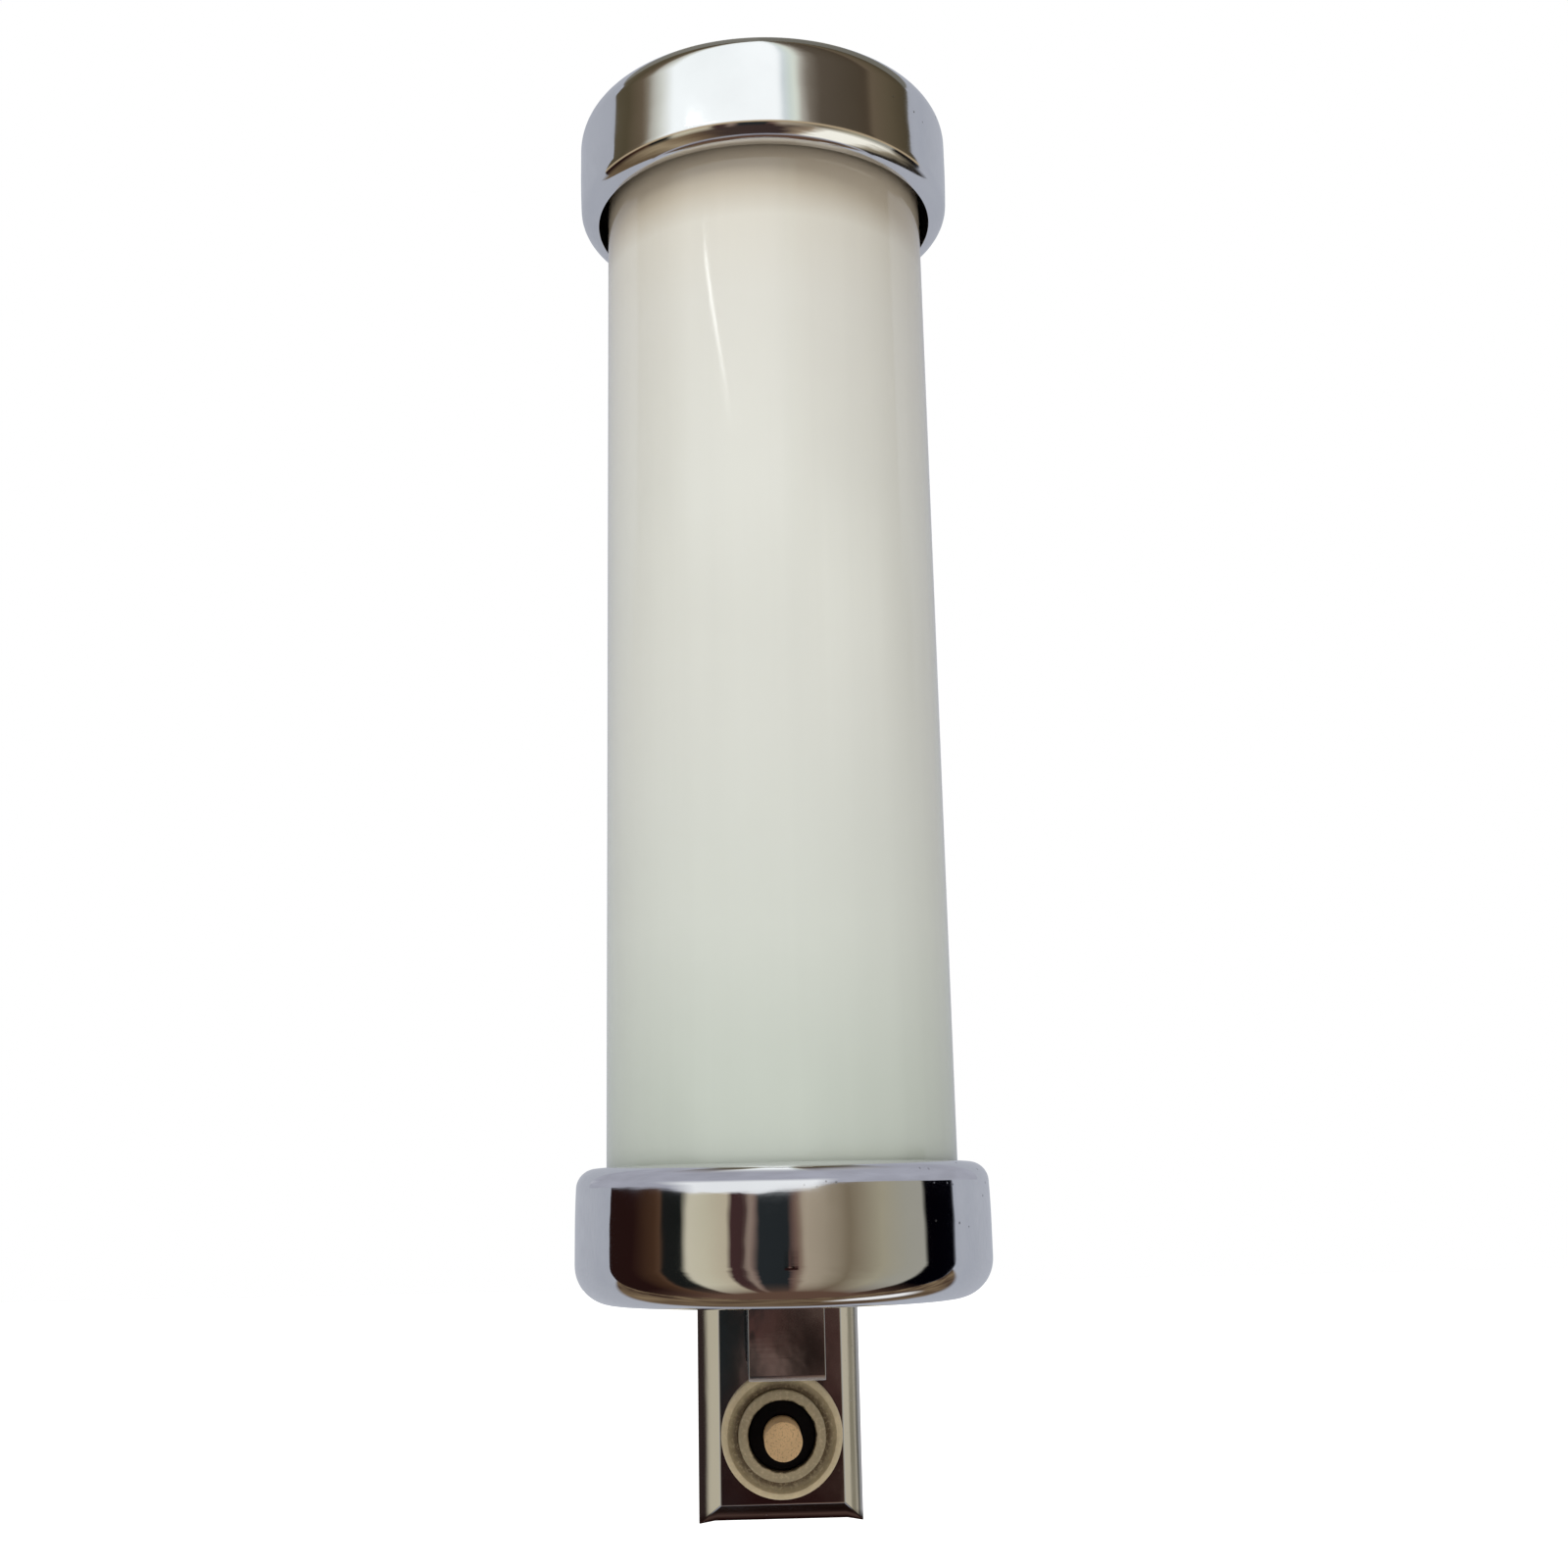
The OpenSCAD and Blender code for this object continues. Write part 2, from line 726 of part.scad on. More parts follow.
// Half section of the thin wall of a cup, with a hole in its floor
module cup_wall_section(hole_r) {
    difference() {
        cup_section(0);
        cup_section(cap_wall);
        translate([0, cap_wall + eps])
            square([cap_r - cap_lip_r, cap_h]);
        translate([0, -1])
            square([hole_r, cap_wall + 2]);
    }
}

// Half section of a seat, with its ledge under the glass and its collar round it
module seat_section() {
    inner = glass_r - glass_wall - seat_ledge;
    difference() {
        intersection() {
            cup_section(cap_wall + seat_gap);
            translate([inner, cap_wall])
                square([cap_r, seat_t + seat_collar]);
        }
        translate([0, cap_wall + seat_t])
            square([glass_r + glass_gap, cap_h]);
    }
    // The flat of the seat lies on the cap's floor
    translate([inner, cap_wall])
        square([cap_r - cap_edge_r - inner, seat_t - rest]);
}

module bottom_cap() {
    color("silver")
        translate([0, y_axis, z_under])
            rotate_extrude()
                cup_wall_section(nipple_r + window);
}

module top_cap() {
    color("silver")
        translate([0, y_axis, z_top])
            mirror([0, 0, 1])
                rotate_extrude()
                    cup_wall_section(stud_r + 2 * window);
}

module lower_seat() {
    color("dimgray")
        translate([0, y_axis, z_under])
            rotate_extrude()
                seat_section();
}

module upper_seat() {
    color("dimgray")
        translate([0, y_axis, z_top])
            mirror([0, 0, 1])
                rotate_extrude()
                    seat_section();
}

module glass_tube() {
    polish = glass_wall / 3;
    color("honeydew")
        translate([0, y_axis, z_glass])
            rotate_extrude() {
                translate([glass_r - glass_wall, polish])
                    square([glass_wall, glass_h - 2 * polish]);
                translate([glass_r - glass_wall + polish, 0])
                    square([glass_wall - 2 * polish, glass_h]);
                for (x = [polish, glass_wall - polish], z = [polish, glass_h - polish])
                    translate([glass_r - glass_wall + x, z])
                        circle(polish);
            }
}

// ---- Inner frame, lampholder and stud ----

// Side view of the strip: foot, upright and upper end with round bends
module strip_side() {
    high = z_tab - z_floor;
    long = strip_back + strip_nose;
    bend = long - strip_bend;
    difference() {
        square([long, high]);
        translate([-1, strip_t])
            square([bend + 1, high - 2 * strip_t]);
        translate([-1, strip_bend])
            square([long - strip_t + 1, high - 2 * strip_bend]);
        translate([bend, -1])
            square([strip_bend + 1, strip_bend + 1]);
        translate([bend, high - strip_bend])
            square([strip_bend + 1, strip_bend + 1]);
    }
    for (z = [strip_bend, high - strip_bend])
        intersection() {
            translate([bend, z])
                difference() {
                    circle(strip_bend);
                    circle(strip_bend - strip_t);
                }
            translate([bend, z > strip_bend ? z : -1])
                square([strip_bend + 1, strip_bend + 1]);
        }
}

module inner_frame() {
    color("lightslategray")
        difference() {
            translate([-strip_w / 2, y_axis - strip_nose, z_floor])
                rotate([90, 0, 90])
                    linear_extrude(strip_w)
                        strip_side();
            translate([0, y_axis, z_floor - 1])
                cylinder(r = nipple_r + fit, h = strip_t + 2);
            translate([0, y_axis, z_tab - strip_t - 1])
                cylinder(r = stud_r + fit, h = strip_t + 2);
        }
}

module nipple() {
    color("goldenrod")
        translate([0, y_axis, nipple_low])
            difference() {
                cylinder(r = nipple_r, h = z_holder + nipple_in - nipple_low);
                translate([0, 0, -1])
                    cylinder(d = nipple_bore, h = z_holder + nipple_in + 2 - nipple_low);
            }
}

module nipple_nut() {
    color("goldenrod")
        translate([0, y_axis, z_foot])
            hex_nut(nipple_nut_w, nipple_nut_h, nipple_d + 2 * fit);
}

module lampholder() {
    base_r = holder_d / 2 - 3;
    flange = 1.5;
    flange_low = holder_base_h - flange;
    flange_h = socket_h - 4.5;
    socket_bore = shell_r + shell_t + fit;
    color("white")
        difference() {
            translate([0, y_axis, z_holder])
                rotate_extrude()
                    union() {
                        square([base_r, holder_base_h]);
                        translate([0, flange_low])
                            square([holder_d / 2, flange_h]);
                        translate([0, holder_base_h])
                            square([holder_d / 2 - flange, socket_h]);
                    }
            translate([0, y_axis, z_socket])
                cylinder(r = socket_bore, h = socket_h + 1);
            translate([0, y_axis, z_holder - 1])
                cylinder(r = nipple_r + fit, h = nipple_in + rest + 1);
            translate([0, y_axis, z_holder])
                cylinder(d = nipple_bore, h = holder_base_h - 1);
            for (side = [-1, 1])
                translate([side * holder_screw_x, y_axis, z_holder + holder_base_h / 2 - 0.5])
                    rotate([0, side * 90, 0])
                        cylinder(d = holder_screw_d + rest, h = holder_d);
        }
}

module screw_shell() {
    low_gap = z_contact - z_socket;
    color("goldenrod")
        translate([0, y_axis, z_contact])
            difference() {
                cylinder(r = shell_r + shell_t, h = socket_h - low_gap - shell_t);
                translate([0, 0, -1])
                    cylinder(r = shell_r, h = socket_h);
            }
}

// Sprung brass tongue in the bottom of the socket, with its raised tip
module centre_contact() {
    tongue_w = 5;
    tongue_l = 9;
    tip_w = 3.2;
    color("goldenrod") {
        translate([-tongue_w / 2, y_axis - tongue_l / 2, z_socket])
            cube([tongue_w, tongue_l, contact_t]);
        translate([-tip_w / 2, y_axis - tip_w / 2, z_socket + contact_t])
            cube([tip_w, tip_w, contact_tip]);
    }
}

// Terminal screws in the lampholder's base
module holder_screws() {
    base_r = holder_d / 2 - 3;
    color("goldenrod")
        for (side = [-1, 1])
            translate([side * holder_screw_x, y_axis, z_holder + holder_base_h / 2 - 0.5])
                rotate([0, side * 90, 0])
                    cylinder(d = holder_screw_d, h = base_r - holder_screw_x + 4 * rest);
}

module top_stud() {
    low = z_tab - strip_t - stud_nut_h - stud_past;
    high = z_top + stud_up;
    chamfer = 0.6;
    color("goldenrod")
        translate([0, y_axis, low])
            union() {
                cylinder(r = stud_r, h = high - chamfer - low);
                translate([0, 0, high - chamfer - low])
                    cylinder(r1 = stud_r, r2 = stud_r - chamfer, h = chamfer);
            }
}

module stud_nuts() {
    color("goldenrod") {
        translate([0, y_axis, z_tab])
            hex_nut(stud_nut_w, stud_nut_h, stud_d + 2 * fit);
        translate([0, y_axis, z_tab - strip_t - stud_nut_h])
            hex_nut(stud_nut_w, stud_nut_h, stud_d + 2 * fit);
    }
}

module cap_washer() {
    color("silver")
        translate([0, y_axis, z_top])
            difference() {
                cylinder(d = finial_d + 2 * washer_past, h = washer_t);
                translate([0, 0, -1])
                    cylinder(r = stud_r + 2 * window, h = washer_t + 2);
            }
}

module finial_nut() {
    r = finial_d / 2;
    knurls = 28;
    knurl_r = 0.7;
    knurl_out = 0.25;
    bore_past = 0.6;
    low = z_top + washer_t + rest;
    bore_h = stud_up - washer_t + bore_past;
    dome_r = (r * r + finial_dome_h * finial_dome_h) / (2 * finial_dome_h);
    color("silver")
        translate([0, y_axis, low])
            difference() {
                union() {
                    cylinder(r = r, h = finial_rim_h);
                    intersection() {
                        translate([0, 0, finial_rim_h - eps])
                            cylinder(r = r, h = finial_dome_h + 1);
                        translate([0, 0, finial_rim_h + finial_dome_h - dome_r])
                            sphere(dome_r);
                    }
                }
                translate([0, 0, -1])
                    cylinder(r = stud_r + slip, h = bore_h + 1);
                for (k = [0 : knurls - 1])
                    rotate([0, 0, 360 * k / knurls])
                        translate([r + knurl_out, 0, 1])
                            cylinder(r = knurl_r, h = finial_rim_h - 2, $fn = 24);
            }
}

// ---- Lamp ----

module lamp_cap() {
    tip_r = 2.4;
    tip_h = 1.4;
    skirt_h = 2.3;
    sheet = 0.8;
    floor_t = 1.2;
    color("goldenrod")
        translate([0, y_axis, z_lamp])
            difference() {
                union() {
                    cylinder(r = tip_r, h = tip_h + eps);
                    translate([0, 0, tip_h])
                        cylinder(r = lamp_cap_d / 2 - 2, h = skirt_h - tip_h + eps);
                    translate([0, 0, skirt_h])
                        cylinder(d = lamp_cap_d, h = lamp_cap_l - skirt_h);
                }
                translate([0, 0, skirt_h + floor_t])
                    cylinder(r = lamp_cap_d / 2 - sheet, h = lamp_cap_l);
            }
}

// Half section of the bulb's outer form, drawn in by its wall
module bulb_section(inset) {
    neck_r = lamp_cap_d / 2 - bulb_in - inset;
    r = lamp_d / 2 - inset;
    low = neck_up + inset;
    shoulder = (lamp_d - lamp_cap_d) / 2 + bulb_in;
    high = low + shoulder * 1.2;
    end_r = bulb_end_r - inset;
    translate([0, inset - neck_in])
        square([neck_r, lamp_l / 2]);
    polygon([[0, low], [neck_r, low], [r, high], [0, high]]);
    translate([0, high - eps])
        square([r, lamp_l - bulb_end_r - high + 2 * eps]);
    translate([0, lamp_l - bulb_end_r])
        square([r - end_r, bulb_end_r - inset]);
    intersection() {
        translate([r - end_r, lamp_l - bulb_end_r])
            circle(end_r);
        square([r, lamp_l]);
    }
}

module lamp_bulb() {
    color("whitesmoke")
        translate([0, y_axis, z_lamp_cap_top])
            rotate_extrude()
                difference() {
                    bulb_section(0);
                    bulb_section(bulb_wall);
                }
}

// Glass stem with its two support wires
module lamp_stem() {
    color("lightcyan")
        translate([0, y_axis, 0]) {
            translate([0, 0, z_stem])
                cylinder(r = lamp_cap_d / 2 - bulb_in - bulb_wall - stem_foot_gap, h = stem_foot_h);
            translate([0, 0, z_stem])
                cylinder(r = stem_r, h = stem_h);
            for (side = [-1, 1])
                translate([side * support_x, 0, z_support])
                    rotate([0, side * support_lean, 0])
                        cylinder(r = support_r, h = support_l, $fn = 16);
        }
}

module lamp_filament() {
    span = 2 * (support_x + support_l * sin(support_lean));
    color("dimgray")
        translate([-span / 2, y_axis, z_support + support_l * cos(support_lean) + filament_r + rest])
            rotate([0, 90, 0])
                cylinder(r = filament_r, h = span, $fn = 16);
}

// ---- Switch ----

module switch_body() {
    shell_h = tray_depth - tray_wall - switch_wall_gap - neck_flange_t - rest;
    color("black") {
        difference() {
            union() {
                from_wall(0, z_switch, y_body_back)
                    cylinder(d = switch_d, h = shell_h);
                from_wall(0, z_switch, y_body_back)
                    cylinder(d = neck_bore - 2 * fit, h = -y_recess - switch_wall_gap);
            }
            from_wall(0, z_switch, 0)
                cylinder(d = button_bore_d, h = -y_recess + 1);
            from_wall(0, z_switch, y_chamber_back)
                cylinder(d = chamber_d, h = y_chamber_back - y_chamber_front);
        }
        from_wall(0, z_switch, y_body_back)
            cylinder(d = chamber_d + 1, h = body_floor);
    }
}

// Threaded neck that passes through the tray, with its flange behind the sheet
module switch_neck() {
    chamfer = 0.5;
    color("tan")
        difference() {
            union() {
                from_wall(0, z_switch, y_flange)
                    cylinder(d = neck_d, h = y_flange - y_neck - chamfer);
                from_wall(0, z_switch, y_neck + chamfer)
                    cylinder(d1 = neck_d, d2 = neck_d - 2 * chamfer, h = chamfer);
                from_wall(0, z_switch, y_flange)
                    cylinder(d = switch_d, h = neck_flange_t);
            }
            from_wall(0, z_switch, y_flange + 1)
                cylinder(d = neck_bore, h = y_flange - y_neck + 2);
        }
}

// Ring nut in front of the tray: round rim and a groove that falls towards the neck
module switch_ring() {
    r = ring_d / 2;
    bore = neck_d / 2 + fit;
    rim = ring_out / 2;
    land = 0.9;
    groove_r = 1.6;
    groove_up = 0.4;
    color("tan")
        from_wall(0, z_switch, y_face)
            rotate_extrude()
                difference() {
                    union() {
                        translate([bore, 0])
                            square([r - rim - bore, ring_out - land]);
                        translate([bore, 0])
                            square([r - bore - rim / 5, rim]);
                        translate([r - rim, rim])
                            circle(rim);
                    }
                    translate([bore - 1, -1])
                        square([1, ring_out + 1]);
                    translate([(bore + r - rim) / 2, ring_out + groove_up])
                        circle(groove_r);
                }
}

// Screwed terminals on the back of the switch body
module switch_terminals() {
    color("goldenrod")
        for (side = [-1, 1])
            from_wall(side * pole_gap, z_switch, y_body_back + pole_h)
                difference() {
                    cylinder(d = pole_d, h = pole_h);
                    translate([-pole_d, -slot_w / 2, -1])
                        cube([2 * pole_d, slot_w, slot_deep + 1]);
                }
}

module button_spring() {
    low = y_chamber_back;
    high = y_collar + collar_t;
    play = 0.05;
    span = low - high - spring_wire - 2 * play;
    steps = 12;
    turns = spring_turns * steps;
    path = [
        for (i = [0 : turns])
            [spring_r * cos(360 * i / steps),
            low - spring_wire / 2 - play - span * i / turns,
            z_switch + spring_r * sin(360 * i / steps)]];
    color("silver")
        tube(path, spring_wire, [0, 1, 0], 6);
}

module push_button() {
    y_tip = y_neck - button_out;
    to_collar = y_pilot - y_collar - collar_t;
    stem_l = y_collar + collar_t - y_tip;
    round_r = 0.5;
    collar_gap = 0.6;
    color("burlywood")
        from_wall(0, z_switch, y_pilot)
            rotate_extrude()
                union() {
                    square([pilot_d / 2, to_collar + eps]);
                    translate([0, to_collar])
                        square([chamber_d / 2 - collar_gap, collar_t]);
                    translate([0, to_collar])
                        square([button_d / 2, stem_l - round_r]);
                    translate([0, to_collar])
                        square([button_d / 2 - round_r, stem_l]);
                    translate([button_d / 2 - round_r, to_collar + stem_l - round_r])
                        circle(round_r, $fn = 32);
                }
}

mounting_bar();
arm();
arm_insert();
arm_screws();
wall_tray();
tray_screws();
terminal_block();
terminal_screws();
block_screw();
earth_screw();
cable_grommet();
live_wire();
switch_wire();
neutral_wire();
bottom_cap();
lower_seat();
inner_frame();
nipple();
nipple_nut();
lampholder();
screw_shell();
centre_contact();
holder_screws();
top_stud();
stud_nuts();
glass_tube();
upper_seat();
top_cap();
cap_washer();
finial_nut();
lamp_cap();
lamp_bulb();
lamp_stem();
lamp_filament();
switch_body();
switch_neck();
switch_ring();
switch_terminals();
button_spring();
push_button();
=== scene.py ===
import bmesh
import bpy
import json
import math

from bpy.props import FloatProperty, FloatVectorProperty, IntProperty, PointerProperty
from bpy.types import NodeSocket, Operator, Panel, PropertyGroup
from mathutils import Matrix, Vector

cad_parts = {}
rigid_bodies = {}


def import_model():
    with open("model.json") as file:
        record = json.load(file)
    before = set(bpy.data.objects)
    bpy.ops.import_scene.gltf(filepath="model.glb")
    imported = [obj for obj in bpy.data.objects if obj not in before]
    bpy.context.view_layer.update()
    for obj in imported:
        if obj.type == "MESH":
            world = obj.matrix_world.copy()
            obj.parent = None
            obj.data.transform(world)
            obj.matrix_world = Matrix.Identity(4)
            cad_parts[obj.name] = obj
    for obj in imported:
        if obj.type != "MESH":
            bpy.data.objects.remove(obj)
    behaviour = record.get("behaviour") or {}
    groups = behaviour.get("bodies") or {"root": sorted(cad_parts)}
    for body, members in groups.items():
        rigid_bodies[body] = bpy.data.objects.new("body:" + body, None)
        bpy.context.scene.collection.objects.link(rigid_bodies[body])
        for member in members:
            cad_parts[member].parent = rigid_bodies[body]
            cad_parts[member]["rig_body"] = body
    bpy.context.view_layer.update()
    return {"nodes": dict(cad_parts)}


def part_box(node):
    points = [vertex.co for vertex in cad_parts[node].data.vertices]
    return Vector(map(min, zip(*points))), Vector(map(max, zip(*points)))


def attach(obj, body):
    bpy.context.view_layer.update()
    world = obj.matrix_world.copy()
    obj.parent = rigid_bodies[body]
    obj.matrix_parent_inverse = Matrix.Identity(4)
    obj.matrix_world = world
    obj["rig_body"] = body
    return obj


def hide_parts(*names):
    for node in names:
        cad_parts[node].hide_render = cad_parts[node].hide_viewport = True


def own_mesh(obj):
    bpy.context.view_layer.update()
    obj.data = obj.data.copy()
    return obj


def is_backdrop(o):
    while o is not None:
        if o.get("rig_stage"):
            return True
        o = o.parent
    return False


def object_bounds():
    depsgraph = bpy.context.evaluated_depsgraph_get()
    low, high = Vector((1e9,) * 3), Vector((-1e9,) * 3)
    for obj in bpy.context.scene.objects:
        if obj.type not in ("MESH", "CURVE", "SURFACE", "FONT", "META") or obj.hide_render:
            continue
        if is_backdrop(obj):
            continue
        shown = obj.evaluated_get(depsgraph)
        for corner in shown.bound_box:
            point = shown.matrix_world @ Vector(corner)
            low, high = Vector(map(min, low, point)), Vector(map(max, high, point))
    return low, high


bl_info = {
    "name": "Wall Tube Light",
    "version": (1, 0, 0),
    "blender": (4, 5, 0),
    "location": "View3D > Sidebar > Tube Light",
    "description": "Dresses a wall light: opal glass tube, drawn caps, folded tray and push switch",
    "category": "Object",
}

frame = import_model()
CAD = frame["nodes"]
MM = 0.001


# ---- Places taken from the fixed frame ----

def middle(node):
    """Centre of a node's box."""
    low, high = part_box(node)
    return (low + high) / 2


def reach(node):
    """Half the width of a node's box, which is the radius of a round one."""
    low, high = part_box(node)
    return (high.x - low.x) / 2


AXIS = Vector((0, middle("glass_tube").y, 0))
SWITCH = Vector((0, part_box("switch_ring")[1].y, middle("switch_ring").z))
# The arm's square nose: half its width, and its under and upper side above the foot of the arm
NOSE_HALF, NOSE_UNDER, NOSE_TOP = 6.25 * MM, 0.5 * MM, 12.7 * MM


# ---- Sizes and colours a user would change ----

class TubeLightSizes(PropertyGroup):
    """Rounds and sheet sizes of the pieces."""

    cap_edge: FloatProperty(
        name="Cap edge", description="Outside radius of the caps' closed end",
        default=0.0065, min=0.001, max=0.008, unit="LENGTH", subtype="DISTANCE")
    cap_lip: FloatProperty(
        name="Cap lip", description="Radius of the lip rolled towards the glass",
        default=0.0031, min=0.002, max=0.004, unit="LENGTH", subtype="DISTANCE")
    cap_sheet: FloatProperty(
        name="Cap sheet", description="Thickness of the caps",
        default=0.001, min=0.0006, max=0.0014, unit="LENGTH", subtype="DISTANCE")
    glass_wall: FloatProperty(
        name="Glass wall", description="Thickness of the opal tube",
        default=0.003, min=0.002, max=0.005, unit="LENGTH", subtype="DISTANCE")
    tray_sheet: FloatProperty(
        name="Tray sheet", description="Thickness of the folded tray",
        default=0.001, min=0.0006, max=0.0012, unit="LENGTH", subtype="DISTANCE")
    tray_bend: FloatProperty(
        name="Tray bend", description="Round of the tray's folds and mitres",
        default=0.00018, min=0.0001, max=0.001, unit="LENGTH", subtype="DISTANCE")
    knurls: IntProperty(
        name="Knurls", description="Grooves round the finial nut",
        default=28, min=12, max=60)


class TubeLightColours(PropertyGroup):
    """Colours of the finishes."""

    chrome: FloatVectorProperty(
        name="Chrome", description="Colour of the bright plating",
        default=(0.82, 0.82, 0.83), size=3, min=0, max=1, subtype="COLOR")
    opal: FloatVectorProperty(
        name="Opal glass", description="Colour of the glass tube",
        default=(0.80, 0.80, 0.765), size=3, min=0, max=1, subtype="COLOR")
    moulding: FloatVectorProperty(
        name="Moulding", description="Colour of the switch's ring and neck",
        default=(0.58, 0.475, 0.30), size=3, min=0, max=1, subtype="COLOR")
    button: FloatVectorProperty(
        name="Button", description="Colour of the push button",
        default=(0.66, 0.43, 0.215), size=3, min=0, max=1, subtype="COLOR")


class TubeLightStudio(PropertyGroup):
    """Light and floor of the studio."""

    floor_drop: FloatProperty(
        name="Floor drop", description="Height of the light above the floor",
        default=0.3, min=0.01, max=2, unit="LENGTH", subtype="DISTANCE")
    screen_radius: FloatProperty(
        name="Screen radius", description="Distance of the coloured screen that bright metal mirrors",
        default=1.3, min=0.6, max=4, unit="LENGTH", subtype="DISTANCE")
    sky: FloatProperty(
        name="Soft light", description="Strength of the even light from all sides",
        default=0.53, min=0, max=2, subtype="FACTOR")
    key: FloatProperty(
        name="Key lamp", description="Power of the lamp above in front",
        default=3.7, min=0, max=50, unit="POWER")
    fill: FloatProperty(
        name="Fill lamp", description="Power of the wide lamp low in front",
        default=2.2, min=0, max=50, unit="POWER")


# ---- Modelling helpers ----

def arc_steps(radius):
    """Segments for a round of that radius in millimetres."""
    return max(3, min(18, round(4 + 2 * radius)))


def draw_section(bm, corners, closed=True):
    """Draws a half section from corners (radius, height, rounding) in millimetres."""
    verts = [bm.verts.new((r * MM, 0, z * MM)) for r, z, _ in corners]
    ends = verts[1:] + verts[:1] if closed else verts[1:]
    for a, b in zip(verts, ends):
        bm.edges.new((a, b))
    for vert, (_, _, rounding) in zip(verts, corners):
        if rounding:
            bmesh.ops.bevel(
                bm, geom=[vert], offset=rounding * MM, offset_type="OFFSET",
                segments=arc_steps(rounding), profile=0.5, affect="VERTICES", material=-1)


def turn(bm, steps):
    """Turns all that is drawn so far a full round about Z."""
    bmesh.ops.spin(
        bm, geom=bm.verts[:] + bm.edges[:], cent=(0, 0, 0), axis=(0, 0, 1),
        angle=math.tau, steps=steps, use_merge=True)
    bmesh.ops.remove_doubles(bm, verts=bm.verts[:], dist=1e-7)


def turned(corners, steps=96, closed=True):
    """A turned piece about Z from one half section."""
    bm = bmesh.new()
    draw_section(bm, corners, closed)
    turn(bm, steps)
    return bm


def tip(bm, angle):
    """Tips a piece about X: a quarter points it away from the wall, a half turns it over."""
    bmesh.ops.rotate(bm, verts=bm.verts[:], cent=(0, 0, 0), matrix=Matrix.Rotation(angle, 3, "X"))


def move(bm, place):
    bmesh.ops.translate(bm, verts=bm.verts[:], vec=place)


def radius_height(node):
    """Radius and height of a round node in millimetres."""
    low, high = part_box(node)
    return reach(node) / MM, (high.z - low.z) / MM


def set_on_axis(bm, node, up=True):
    """Sets a piece on the tube's axis at its node: up from the low end, or turned over from the high one."""
    low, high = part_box(node)
    if not up:
        tip(bm, math.pi)
    move(bm, AXIS + Vector((0, 0, low.z if up else high.z)))


def bevel_edges(bm, edges, size, segments=4):
    bmesh.ops.bevel(
        bm, geom=list(edges), offset=size, offset_type="OFFSET", segments=segments,
        profile=0.5, affect="EDGES", clamp_overlap=True, material=-1)


def complete(bm, name, finish, nodes, *, outward=True, sharp=32, edge=0):
    """Makes the drawn mesh a piece that stands for the named nodes."""
    if outward:
        bmesh.ops.remove_doubles(bm, verts=bm.verts[:], dist=1e-7)
        bmesh.ops.recalc_face_normals(bm, faces=bm.faces[:])
    mesh = bpy.data.meshes.new(name)
    bm.to_mesh(mesh)
    bm.free()
    mesh.polygons.foreach_set("use_smooth", [True] * len(mesh.polygons))
    mesh.set_sharp_from_angle(angle=math.radians(sharp))
    mesh.materials.append(finish)
    piece = bpy.data.objects.new(name, mesh)
    bpy.context.scene.collection.objects.link(piece)
    if edge:
        soft = piece.modifiers.new("Broken edges", "BEVEL")
        soft.width = edge * MM
        soft.segments = 2
        soft.limit_method = "ANGLE"
        soft.angle_limit = math.radians(38)
    even = piece.modifiers.new("Even shading", "WEIGHTED_NORMAL")
    even.keep_sharp = True
    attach(piece, CAD[nodes[0]]["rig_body"])
    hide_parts(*nodes)
    return piece


def refine(node, finish, edge=0.15):
    """Joins the loose triangles of a copy of a node and breaks its sharp edges."""
    bm = bmesh.new()
    bm.from_mesh(CAD[node].data)
    bmesh.ops.remove_doubles(bm, verts=bm.verts[:], dist=2e-6)
    bmesh.ops.dissolve_limit(
        bm, angle_limit=math.radians(0.6), use_dissolve_boundaries=False,
        verts=bm.verts[:], edges=bm.edges[:], delimit={"NORMAL"})
    return complete(bm, node + "_fine", finish, [node], outward=False, edge=edge)


# ---- Node materials ----

